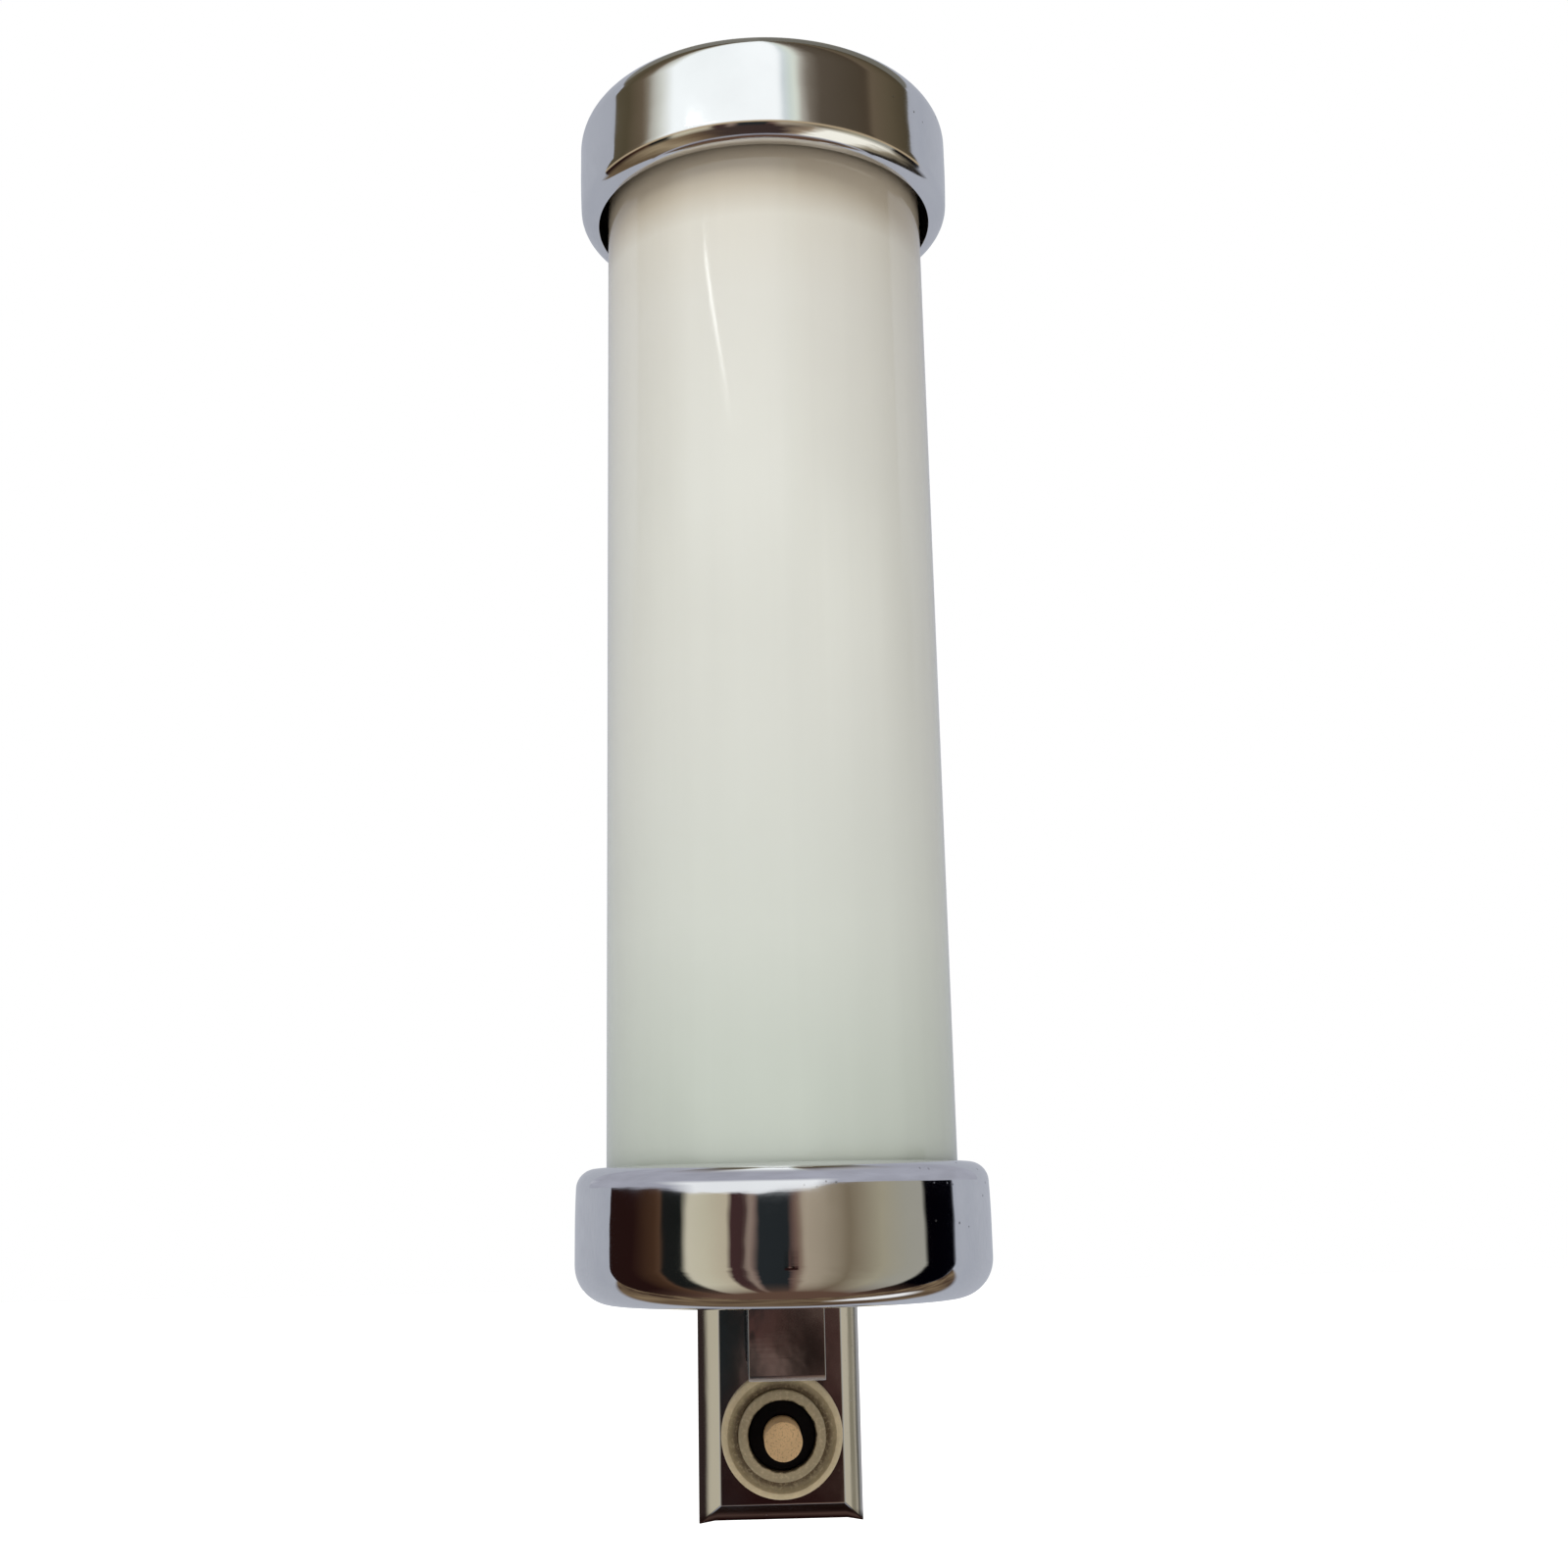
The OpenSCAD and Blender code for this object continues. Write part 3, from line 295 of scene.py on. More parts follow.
class Finish:
    """A node material on the piece's own coordinates."""

    made = {}

    def __init__(self, name, centre=(0, 0, 0), stretch=(1, 1, 1)):
        self.material = bpy.data.materials.new(name)
        self.material.use_nodes = True
        self.tree = self.material.node_tree
        self.shader = self.tree.nodes["Principled BSDF"]
        self.object_space = self.add("ShaderNodeTexCoord", out="Object")
        self.space = self.place(centre, stretch)
        Finish.made[name] = self.material

    def add(self, kind, out=0, ins=(), **values):
        """Adds a node. Capital names and ins set sockets, others the node's own settings."""
        node = self.tree.nodes.new(kind)
        for key, value in values.items():
            if not key[0].isupper():
                setattr(node, key, value)
        pairs = [(node.inputs[i], v) for i, v in enumerate(ins)]
        pairs += [(node.inputs[k.replace("_", " ")], v) for k, v in values.items() if k[0].isupper()]
        for socket, value in pairs:
            self.put(socket, value)
        return node.outputs[out]

    def put(self, socket, value):
        if isinstance(value, NodeSocket):
            self.tree.links.new(value, socket)
        else:
            socket.default_value = value

    def place(self, centre, stretch):
        """The piece's coordinates about a centre, stretched along each axis."""
        shift = [-c * s for c, s in zip(centre, stretch)]
        return self.add("ShaderNodeMapping", Vector=self.object_space, Location=shift, Scale=stretch)

    def axes(self):
        """X, Y and Z on the piece."""
        return self.add("ShaderNodeSeparateXYZ", ins=(self.object_space,)).node.outputs

    def distance(self, point):
        """Distance from a point in the piece's coordinates."""
        return self.add("ShaderNodeVectorMath", "Value", (self.object_space, point), operation="DISTANCE")

    def noise(self, scale, detail=3.0, rough=0.5, space=None):
        return self.add(
            "ShaderNodeTexNoise", Vector=space or self.space, Scale=scale, Detail=detail, Roughness=rough)

    def jitter(self, amount, scale, detail):
        """Noise about zero."""
        return self.maths("MULTIPLY", self.maths("SUBTRACT", self.noise(scale, detail), 0.5), amount)

    def dots(self, scale, start, stop):
        """One at scattered points, fading out between two distances from them."""
        cells = self.add("ShaderNodeTexVoronoi", Vector=self.space, Scale=scale)
        return self.span(cells, 1, 0, start, stop)

    def off_axis(self, keep):
        """Distance from the axis that keep leaves out, as 0 among the ones."""
        flat = self.add("ShaderNodeMapping", Vector=self.space, Scale=keep)
        return self.add("ShaderNodeVectorMath", "Value", (flat,), operation="LENGTH")

    def span(self, value, low, high, start=0.3, stop=0.7):
        """Spreads a pattern's middle range over low to high."""
        return self.add(
            "ShaderNodeMapRange", Value=value, From_Min=start, From_Max=stop, To_Min=low, To_Max=high)

    def band(self, value, rise, fall):
        """One inside a band that fades in over two limits and out over two more."""
        return self.maths("MULTIPLY", self.span(value, 0, 1, *rise), self.span(value, 1, 0, *fall))

    def ramp(self, value, stops):
        ramp = self.tree.nodes.new("ShaderNodeValToRGB")
        elements = ramp.color_ramp.elements
        while len(elements) < len(stops):
            elements.new(0.5)
        for element, (position, colour) in zip(elements, stops):
            element.position = position
            element.color = (*colour, 1)
        self.put(ramp.inputs[0], value)
        return ramp.outputs[0]

    def maths(self, operation, *ins):
        return self.add("ShaderNodeMath", ins=ins, operation=operation)

    def mix(self, factor, low, high):
        """Blends two colours."""
        node = self.tree.nodes.new("ShaderNodeMix")
        node.data_type = "RGBA"
        for socket, value in zip((node.inputs[0], node.inputs[6], node.inputs[7]), (factor, low, high)):
            if not isinstance(value, NodeSocket) and socket.type == "RGBA":
                value = (*value, 1)
            self.put(socket, value)
        return node.outputs[2]

    def bump(self, height, distance, strength=1.0, under=None):
        values = {"Height": height, "Distance": distance, "Strength": strength}
        if under is not None:
            values["Normal"] = under
        return self.add("ShaderNodeBump", **values)

    def set(self, **values):
        for key, value in values.items():
            self.put(self.shader.inputs[key.replace("_", " ")], value)
        return self.material


def shade(colour, factor):
    return tuple(min(1, c * factor) for c in colour)


def bright_metal(name, colour, centre, wave=0.0008, wave_size=20, rough=0.045, worn=None):
    """Polished plating: slow waves from forming, rubbing marks, haze and pits, dull below a worn height."""
    f = Finish(name, centre)
    rubbed = f.place(centre, (60, 60, 900))
    haze = f.noise(70, 4)
    marks = f.noise(1, 5, 0.7, rubbed)
    spots = f.maths("MULTIPLY", f.dots(420, 0.05, 0.12), f.span(f.noise(45), 0, 1, 0.56, 0.62))
    tone = f.mix(f.span(haze, 0, 1), shade(colour, 0.93), colour)
    tone = f.mix(spots, tone, shade(colour, 0.25))
    dull = f.maths("ADD", f.span(haze, rough * 0.6, rough * 1.7), f.maths("MULTIPLY", spots, 0.4))
    wavy = f.bump(f.noise(wave_size * 4.5, 2), wave * 0.08, 1.0, f.bump(f.noise(wave_size, 1), wave))
    fine = f.bump(marks, 0.000003, 0.6, wavy)
    metal = 1.0
    if worn is not None:
        metal = f.span(f.axes()[2], 1, 0.72, worn + 0.15 * MM, worn - 0.15 * MM)
    return f.set(Base_Color=tone, Roughness=dull, Normal=fine, Metallic=metal)


def worked_metal(name, colours, centre, rough=(0.25, 0.45), brushed=(1, 1, 1), grain=600, relief=0.00004):
    """Turned, drawn or zinc-plated metal with spangle, rubbed grain and darker tarnish."""
    f = Finish(name, centre)
    lines = f.noise(grain, 4, 0.6, f.place(centre, brushed))
    patch = f.noise(160, 5, 0.6)
    tone = f.mix(f.span(patch, 0, 1), colours[0], colours[1])
    tone = f.mix(f.span(lines, 0, 0.35), tone, shade(colours[0], 0.55))
    return f.set(
        Base_Color=tone, Roughness=f.span(patch, *rough), Metallic=1.0,
        Normal=f.bump(lines, relief, 0.5))


def moulded(
        name, colours, centre, grain=900, speck=0.5, rough=(0.28, 0.5), relief=0.00003, coat=0.0,
        shine=0.5):
    """Moulded or fired stuff: cloudy tone, fine specks and a slightly uneven skin."""
    f = Finish(name, centre)
    cloud = f.noise(130, 4)
    specks = f.noise(grain * 2.2, 2, 0.7)
    tone = f.mix(f.span(cloud, 0, 1), colours[0], colours[1])
    tone = f.mix(f.span(specks, 0, speck, 0.52, 0.72), tone, colours[2])
    return f.set(
        Base_Color=tone, Roughness=f.span(cloud, *rough), Coat_Weight=coat, Specular_IOR_Level=shine,
        Normal=f.bump(f.noise(grain, 3), relief, 0.6))


def ringed_moulding(name, rings, centre):
    """Moulded ring about the front axis: a tone for each radius in millimetres, clouded and specked; the
    tones paint shade and a highlight.
    """
    f = Finish(name, centre)
    widest = 12
    radius = f.maths("ADD", f.off_axis((1, 0, 1)), f.jitter(0.0006, 700, 3))
    tone = f.ramp(f.span(radius, 0, 1, 0, widest * MM), [(mm / widest, colour) for mm, colour in rings])
    grain = f.noise(1500, 3, 0.7)
    tone = f.mix(f.span(grain, 0, 0.35, 0.5, 0.7), tone, shade(rings[-1][1], 1.35))
    tone = f.mix(f.span(f.noise(160, 4), 0.28, 0), tone, shade(rings[2][1], 0.6))
    return f.set(
        Base_Color=tone, Roughness=f.span(grain, 0.34, 0.55), Normal=f.bump(f.noise(1000, 3), 0.00004, 0.6))


def opal_glass(colour, centre):
    """White opal glass: clouded body, faint drawn lines, rare dark specks, glossy skin, and painted shade at
    both ends.
    """
    f = Finish("opal_glass", centre)
    drawn = f.noise(1, 3, 0.5, f.place(centre, (260, 260, 6)))
    cloud = f.noise(24, 3)
    rare = f.maths("MULTIPLY", f.dots(75, 0.035, 0.06), f.span(f.noise(31), 0, 1, 0.62, 0.66))
    # Painted shade by height: a brown painted shadow of the upper cap below its lip, and darker, greener
    # painted shade towards the lower cap
    painted_end_shade = f.ramp(f.span(f.axes()[2], 0, 1, -0.1, 0.1), [
        (0.0, (0.77, 0.83, 0.78)), (0.12, (0.82, 0.88, 0.83)), (0.25, (0.95, 0.985, 0.95)),
        (0.42, (0.99, 1.0, 0.975)), (0.6, (1.0, 1.0, 0.975)), (0.8, (0.96, 0.94, 0.91)),
        (0.875, (0.92, 0.88, 0.825)), (0.905, (0.71, 0.63, 0.535)), (0.96, (0.52, 0.43, 0.34))])
    tone = f.mix(f.span(cloud, 0, 1), shade(colour, 0.965), colour)
    tone = f.mix(f.span(drawn, 0, 0.5), tone, shade(colour, 0.94))
    tone = f.add("ShaderNodeVectorMath", 0, (tone, painted_end_shade), operation="MULTIPLY")
    tone = f.mix(rare, tone, (0.2, 0.17, 0.13))
    skin = f.bump(drawn, 0.00003, 0.35, f.bump(f.noise(20, 1), 0.0003, 0.5))
    return f.set(
        Base_Color=tone, Roughness=f.span(cloud, 0.05, 0.09), Normal=skin, IOR=1.5,
        Subsurface_Weight=0.15, Subsurface_Radius=(0.004, 0.004, 0.0036))


def clear_glass(name, centre):
    """Thin blown glass with slight waves."""
    f = Finish(name, centre)
    wave = f.noise(60, 2)
    return f.set(
        Base_Color=f.mix(f.span(wave, 0, 1), (0.93, 0.95, 0.94), (0.99, 1.0, 0.99)),
        Roughness=f.span(wave, 0.01, 0.04), Normal=f.bump(wave, 0.0003, 0.4),
        Transmission_Weight=1.0, IOR=1.45)


def braided(name, colours, centre):
    """Cotton braid over a wire: crossed threads with fluff."""
    f = Finish(name, centre)
    crossed = f.add("ShaderNodeMapping", Vector=f.space, Rotation=(0.6, 1.4, 0.4))
    threads = [
        f.add("ShaderNodeTexWave", Vector=space, Scale=380, Distortion=1.2, bands_direction="DIAGONAL")
        for space in (f.space, crossed)]
    weave = f.maths("MAXIMUM", *threads)
    tone = f.mix(weave, colours[0], colours[1])
    tone = f.mix(f.span(f.noise(900, 2), 0, 0.4), tone, colours[2])
    return f.set(
        Base_Color=tone, Roughness=f.span(weave, 0.95, 0.8, 0, 1), Normal=f.bump(weave, 0.0001),
        Sheen_Weight=0.3)


def finishes(context):
    """Makes all finishes once."""
    if Finish.made:
        return Finish.made
    colours = context.scene.tube_light_colours
    chrome = tuple(colours.chrome)
    moulding = tuple(colours.moulding)
    button = tuple(colours.button)
    tray = middle("wall_tray")
    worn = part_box("arm")[0].z + NOSE_UNDER + 0.5 * MM
    bright_metal("lower_cap_chrome", chrome, middle("bottom_cap"))
    bright_metal("upper_cap_chrome", chrome, middle("top_cap"), wave=0.0006, rough=0.075)
    bright_metal("tray_chrome", shade(chrome, 0.94), tray, wave=0.0002, wave_size=40, rough=0.06)
    bright_metal("arm_chrome", shade(chrome, 0.9), middle("arm"), wave=0.00014, wave_size=50, rough=0.085,
                 worn=worn)
    bright_metal("nut_chrome", chrome, middle("finial_nut"), wave=0.0001, wave_size=80, rough=0.06)
    opal_glass(tuple(colours.opal), AXIS)
    clear_glass("bulb_glass", AXIS)
    worked_metal("zinc_steel", ((0.50, 0.51, 0.52), (0.62, 0.62, 0.60)), tray,
                 rough=(0.3, 0.48), brushed=(1, 1, 0.1))
    worked_metal("screw_steel", ((0.58, 0.58, 0.57), (0.70, 0.70, 0.69)), tray, rough=(0.22, 0.38))
    worked_metal("turned_brass", ((0.58, 0.40, 0.15), (0.74, 0.54, 0.25)), AXIS,
                 rough=(0.24, 0.42), brushed=(0.2, 0.2, 3))
    worked_metal("drawn_tungsten", ((0.12, 0.12, 0.12), (0.2, 0.2, 0.2)), AXIS, rough=(0.4, 0.6))
    worked_metal("spring_wire", ((0.4, 0.4, 0.4), (0.55, 0.55, 0.54)), SWITCH, rough=(0.25, 0.4))
    moulded("glazed_porcelain", ((0.80, 0.78, 0.70), (0.87, 0.85, 0.79), (0.5, 0.44, 0.33)), AXIS,
            grain=300, speck=0.2, rough=(0.1, 0.2), relief=0.00005, coat=0.5)
    moulded("seat_rubber", ((0.012, 0.011, 0.010), (0.03, 0.028, 0.025), (0.06, 0.055, 0.05)), AXIS,
            grain=700, rough=(0.6, 0.8), relief=0.00008)
    moulded("black_rubber", ((0.010, 0.010, 0.010), (0.022, 0.021, 0.020), (0.05, 0.05, 0.05)), tray,
            grain=700, speck=0.4, rough=(0.55, 0.75), relief=0.00008)
    painted_groove_shade = (0.13, 0.085, 0.038)
    # Tones by radius paint light and shade: black painted shade in the neck's bore, painted shade on the
    # neck's face and in the groove, and a painted highlight lighter towards the ring's outer rim
    ringed_moulding("cream_moulding", [
        (6.2, (0.004, 0.003, 0.003)), (6.45, shade(moulding, 0.72)), (7.9, shade(moulding, 0.62)),
        (8.15, painted_groove_shade), (8.7, painted_groove_shade), (9.5, shade(moulding, 0.75)), (10.2, shade(moulding, 1.05)),
        (11.1, shade(moulding, 1.18))], SWITCH)
    moulded("button_moulding", (shade(button, 0.9), shade(button, 1.15), shade(button, 0.35)), SWITCH,
            grain=1500, speck=0.85, rough=(0.45, 0.65), relief=0.00006)
    # The switch body is black, and made darker and duller than real black moulding as painted shade inside
    # the neck's bore
    moulded("black_shaded_moulding", ((0.002, 0.001, 0.002), (0.004, 0.003, 0.004), (0.01, 0.009, 0.01)), SWITCH,
            grain=700, speck=0.3, rough=(0.5, 0.7), shine=0.12)
    moulded("block_moulding", ((0.66, 0.62, 0.50), (0.74, 0.70, 0.58), (0.4, 0.34, 0.22)), tray,
            grain=400, speck=0.3, rough=(0.3, 0.5))
    braided("brown_cotton", ((0.07, 0.035, 0.018), (0.17, 0.09, 0.045), (0.25, 0.15, 0.09)), tray)
    braided("blue_cotton", ((0.02, 0.045, 0.11), (0.05, 0.11, 0.25), (0.16, 0.22, 0.34)), tray)
    return Finish.made


# ---- Operators, one for each piece or group of like pieces ----

class TUBELIGHT_OT_caps(Operator):
    """Draws the two caps with their round edge and rolled lip"""

    bl_idname = "tubelight.caps"
    bl_label = "Caps"

    def execute(self, context):
        sizes = context.scene.tube_light_sizes
        made = finishes(context)
        edge, lip, wall = (v / MM for v in (sizes.cap_edge, sizes.cap_lip, sizes.cap_sheet))
        drawn_in, from_mouth, thin = 0.3, 6.6, 0.55
        for node, name, hole, up in (
                ("bottom_cap", "lower_cap", 4.2, True), ("top_cap", "upper_cap", 3.35, False)):
            r, h = radius_height(node)
            inside, mouth = r - wall - drawn_in, r - lip - 0.4
            bm = turned([
                (hole, 0, 0.15), (r, 0, edge), (r, h - from_mouth, 3.3), (r - drawn_in, h, lip),
                (mouth, h, 0.25), (mouth, h - thin, 0.2), (mouth + 1.4, h - wall, 0.4),
                (inside, h - wall, lip - wall), (inside, wall, edge - wall), (hole, wall, 0.15)], 192)
            set_on_axis(bm, node, up)
            complete(bm, name + "_shell", made[name + "_chrome"], [node])
        return {"FINISHED"}


class TUBELIGHT_OT_glass(Operator):
    """Draws the opal tube with fire-polished ends"""

    bl_idname = "tubelight.glass"
    bl_label = "Glass tube"

    def execute(self, context):
        made = finishes(context)
        wall = context.scene.tube_light_sizes.glass_wall / MM
        r, h = radius_height("glass_tube")
        bm = turned([(r, 0, 1), (r, h, 1), (r - wall, h, 1), (r - wall, 0, 1)], 192)
        set_on_axis(bm, "glass_tube")
        complete(bm, "opal_tube", made["opal_glass"], ["glass_tube"])
        return {"FINISHED"}


class TUBELIGHT_OT_seats(Operator):
    """Moulds the two rubber seats that hold the ends of the glass"""

    bl_idname = "tubelight.seats"
    bl_label = "Glass seats"

    def execute(self, context):
        made = finishes(context)
        glass = reach("glass_tube") / MM
        ledge, collar = glass - 5, glass + 0.3
        for node, up in (("lower_seat", True), ("upper_seat", False)):
            r, h = radius_height(node)
            bm = turned([
                (ledge, 0, 0.4), (r, 0.2, 5.3), (r, h, 0.4), (collar, h, 0.5), (collar, 3, 0.3),
                (ledge, 2.9, 0.6)], 128)
            set_on_axis(bm, node, up)
            complete(bm, node + "_rubber", made["seat_rubber"], [node])
        return {"FINISHED"}


def holed_plate(bm, outline, holes, place):
    """Fills a flat outline round its holes; place makes a point of each pair of measures."""
    rings = []
    for ring in [outline] + holes:
        verts = [bm.verts.new(place(x, along)) for x, along in ring]
        rings.append([bm.edges.new((a, b)) for a, b in zip(verts, verts[1:] + verts[:1])])
    edges = [e for ring in rings for e in ring]
    bmesh.ops.triangle_fill(bm, edges=edges, use_beauty=True, use_dissolve=False)
    return rings[0]


def rectangle(half, start, stop):
    """Corners of a rectangle about the middle of a plate."""
    return [(-half, start), (half, start), (half, stop), (-half, stop)]


def circle(radius, middle, count):
    """Points round a hole in the middle of a plate."""
    angles = [math.tau * i / count for i in range(count)]
    return [(radius * math.cos(a), middle + radius * math.sin(a)) for a in angles]


class TUBELIGHT_OT_tray(Operator):
    """Folds the wall tray with sloping sides, mitred corners and pinched ends"""

    bl_idname = "tubelight.tray"
    bl_label = "Wall tray"

    def execute(self, context):
        sizes = context.scene.tube_light_sizes
        made = finishes(context)
        low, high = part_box("wall_tray")
        arm_low, arm_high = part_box("arm")
        arm_high.z = arm_low.z + NOSE_TOP
        arm_low.z += NOSE_UNDER
        front, face_half, slope, gap, neck_hole = low.y, 11.4 * MM, 5.3 * MM, 0.2 * MM, 8.25 * MM
        ear_length, ear_depth = 3 * MM, 0.5 * MM
        bm = bmesh.new()
        outline = rectangle(face_half, low.z + slope, high.z - slope)
        window = rectangle(NOSE_HALF + gap, arm_low.z - gap, arm_high.z + gap)
        hole = circle(neck_hole, SWITCH.z, 64)
        rim = holed_plate(bm, outline, [window, hole], lambda x, z: (x, front, z))
        spread = bmesh.ops.extrude_edge_only(bm, edges=rim)["geom"]
        back = [g for g in spread if isinstance(g, bmesh.types.BMVert)]
        mitres = [e for e in bm.edges if sum(v in back for v in e.verts) == 1]
        for vert in back:
            vert.co = (math.copysign(high.x, vert.co.x), 0, high.z if vert.co.z > 0 else low.z)
        # The lower edge steps up between the two pinched corners
        lower = next(e for e in bm.edges if all(v in back and v.co.z < 0 for v in e.verts))
        left = min(lower.verts, key=lambda v: v.co.x)
        right = lower.other_vert(left)
        corner = {v: next(e.other_vert(v) for e in mitres if v in e.verts) for v in (left, right)}
        ear = ear_length / (2 * high.x)
        _, first = bmesh.utils.edge_split(lower, left, ear)
        rest = next(e for e in first.link_edges if right in e.verts)
        _, second = bmesh.utils.edge_split(rest, right, ear / (1 - ear))
        for vert, old in ((first, left), (second, right)):
            vert.co.z += ear_depth
            bmesh.ops.connect_verts(bm, verts=[vert, corner[old]])
        bevel_edges(bm, rim + mitres, sizes.tray_bend)
        bmesh.ops.recalc_face_normals(bm, faces=bm.faces[:])
        bmesh.ops.solidify(bm, geom=bm.faces[:], thickness=sizes.tray_sheet)
        for vert in bm.verts:
            vert.co.y = min(vert.co.y, 0)
        complete(bm, "folded_tray", made["tray_chrome"], ["wall_tray"], sharp=40)
        refine("tray_screws", made["screw_steel"], 0.2)
        refine("mounting_bar", made["zinc_steel"], 0.25)
        return {"FINISHED"}


class TUBELIGHT_OT_arm(Operator):
    """Builds the square arm with its fixing plate, tapped block and screws"""

    bl_idname = "tubelight.arm"
    bl_label = "Arm"

    def execute(self, context):
        made = finishes(context)
        low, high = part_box("arm")
        top, under = low.z + NOSE_TOP, low.z + NOSE_UNDER
        plate_w, plate_t, nose_round, side_round = 15 * MM, 2 * MM, 0.9 * MM, 0.13 * MM
        bm = bmesh.new()
        outline = rectangle(NOSE_HALF, low.y, high.y - plate_t)
        bore = circle(4.05 * MM, AXIS.y, 48)
        wire_slot = rectangle(3 * MM, -14 * MM, -6.4 * MM)
        rim = holed_plate(bm, outline, [bore, wire_slot], lambda x, y: (x, y, top))
        down = bmesh.ops.extrude_edge_only(bm, edges=rim)["geom"]
        verts = [g for g in down if isinstance(g, bmesh.types.BMVert)]
        for vert in verts:
            vert.co.z = under
        closing = [e for e in bm.edges if all(v in verts for v in e.verts)]
        bmesh.ops.edgeloop_fill(bm, edges=closing)
        bmesh.ops.recalc_face_normals(bm, faces=bm.faces[:])
        nose = [e for e in closing if all(v.co.y < low.y + 1e-6 for v in e.verts)]
        bevel_edges(bm, nose, nose_round, 6)
        square = math.radians(69)
        sides = [e for e in bm.edges if len(e.link_faces) == 2 and e.calc_face_angle(0) > square]
        bevel_edges(bm, sides, side_round, 3)
        plate = bmesh.ops.create_cube(bm, size=1)["verts"]
        bmesh.ops.scale(bm, vec=(plate_w, plate_t, high.z - low.z), verts=plate)
        bmesh.ops.translate(bm, vec=(0, high.y - plate_t / 2, (high.z + low.z) / 2), verts=plate)
        complete(bm, "square_arm", made["arm_chrome"], ["arm"], sharp=40)
        refine("arm_insert", made["turned_brass"])
        refine("arm_screws", made["screw_steel"], 0.2)
        return {"FINISHED"}


class TUBELIGHT_OT_finial(Operator):
    """Turns and knurls the finial nut and lays the washer, stud and nuts under it"""

    bl_idname = "tubelight.finial"
    bl_label = "Finial nut"

    def execute(self, context):
        made = finishes(context)
        knurls = context.scene.tube_light_sizes.knurls
        low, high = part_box("finial_nut")
        nut_r, rim_z, bore_r, bore_z = 8.5, 7, 3.03, 8.8
        knurl_low, knurl_high, knurl_depth = 1.2 * MM, 5.8 * MM, 0.06
        r, h, rim = nut_r * MM, high.z - low.z, rim_z * MM
        dome = (r * r + (h - rim) ** 2) / (2 * (h - rim))
        bm = bmesh.new()
        draw_section(bm, [
            (0, bore_z, 0), (bore_r, bore_z, 0.2), (bore_r, 0, 0.2), (nut_r, 0, 0.4), (nut_r, 1, 0),
            (nut_r, 1.4, 0), (nut_r, 5.6, 0), (nut_r, 6, 0), (nut_r, rim_z, 0.25)], closed=False)
        # The dome's arc starts where the rim's round ends, at its highest and innermost point
        on_rim = [v for v in bm.verts if v.co.z < rim + 0.01 * MM]
        start = max(on_rim, key=lambda v: (round(v.co.z * 1e6), -v.co.x))
        bmesh.ops.spin(
            bm, geom=[start], cent=(0, 0, h - dome), axis=(0, -1, 0),
            angle=math.atan2(start.co.x, start.co.z - h + dome), steps=16)
        turn(bm, knurls * 10)
        for vert in bm.verts:
            if vert.co.xy.length > r - 0.05 * MM and knurl_low < vert.co.z < knurl_high:
                phase = math.cos(knurls * math.atan2(vert.co.y, vert.co.x))
                in_by = 1 - knurl_depth * max(0, phase)
                bmesh.ops.scale(bm, vec=(in_by, in_by, 1), verts=[vert])
        set_on_axis(bm, "finial_nut")
        complete(bm, "knurled_nut", made["nut_chrome"], ["finial_nut"], sharp=50)
        bm = turned([(3.35, 0, 0.1), (10, 0, 0.15), (10, 0.8, 0.3), (3.35, 0.8, 0.1)], 96)
        set_on_axis(bm, "cap_washer")
        complete(bm, "flat_washer", made["nut_chrome"], ["cap_washer"])
        refine("top_stud", made["turned_brass"])
        refine("stud_nuts", made["turned_brass"], 0.3)
        return {"FINISHED"}


class TUBELIGHT_OT_switch(Operator):
    """Moulds the ring nut, neck, button and body of the push switch"""

    bl_idname = "tubelight.switch"
    bl_label = "Push switch"

    def execute(self, context):
        made = finishes(context)
        neck_end = -(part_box("switch_neck")[0].y - SWITCH.y) / MM
        button_end = -(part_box("push_button")[0].y - SWITCH.y) / MM
        pieces = (
            ("ring_nut", "switch_ring", "cream_moulding", "cream_bakelite", [
                (8.1, 0, 0), (11.15, 0, 0.2), (11.15, 3.05, 1.1), (10.0, 3.05, 0.3),
                (9.2, 2.05, 0.5), (8.1, 2.05, 0.1)], True),
            ("threaded_neck", "switch_neck", "cream_moulding", "cream_bakelite", [
                (6.15, -2.5, 0), (9.6, -2.5, 0.2), (9.6, -1, 0.2), (8.05, -1, 0),
                (8.05, neck_end, 0.5), (6.15, neck_end, 0.35)], True),
            ("push_cap", "push_button", "button_moulding", "tan_bakelite", [
                (0, -7.7, 0), (2, -7.7, 0.2), (2, -1.3, 0), (4.4, -1.3, 0.1), (4.4, 0.1, 0.1),
                (3.4, 0.1, 0), (3.4, button_end, 0.25), (0, button_end, 0)], False))
        for name, node, finish, slot, corners, closed in pieces:
            bm = turned(corners, 96, closed)
            tip(bm, math.pi / 2)
            move(bm, SWITCH)
            complete(bm, name, made[finish], [node])
        # The body's near-black finish is partly painted shade in the neck's bore
        refine("switch_body", made["black_shaded_moulding"], 0.3)
        refine("switch_terminals", made["turned_brass"])
        spring = refine("button_spring", made["spring_wire"], 0)
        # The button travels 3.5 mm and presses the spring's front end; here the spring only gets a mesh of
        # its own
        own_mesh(spring)
        return {"FINISHED"}


class TUBELIGHT_OT_holder(Operator):
    """Sets the inner strip, nipple and lampholder that stand inside the glass"""

    bl_idname = "tubelight.holder"
    bl_label = "Lampholder and inner strip"

    def execute(self, context):
        made = finishes(context)
        refine("inner_frame", made["zinc_steel"], 0.25)
        refine("lampholder", made["glazed_porcelain"], 0.5)
        for node in ("nipple", "nipple_nut", "screw_shell", "centre_contact", "holder_screws"):
            refine(node, made["turned_brass"])
        return {"FINISHED"}


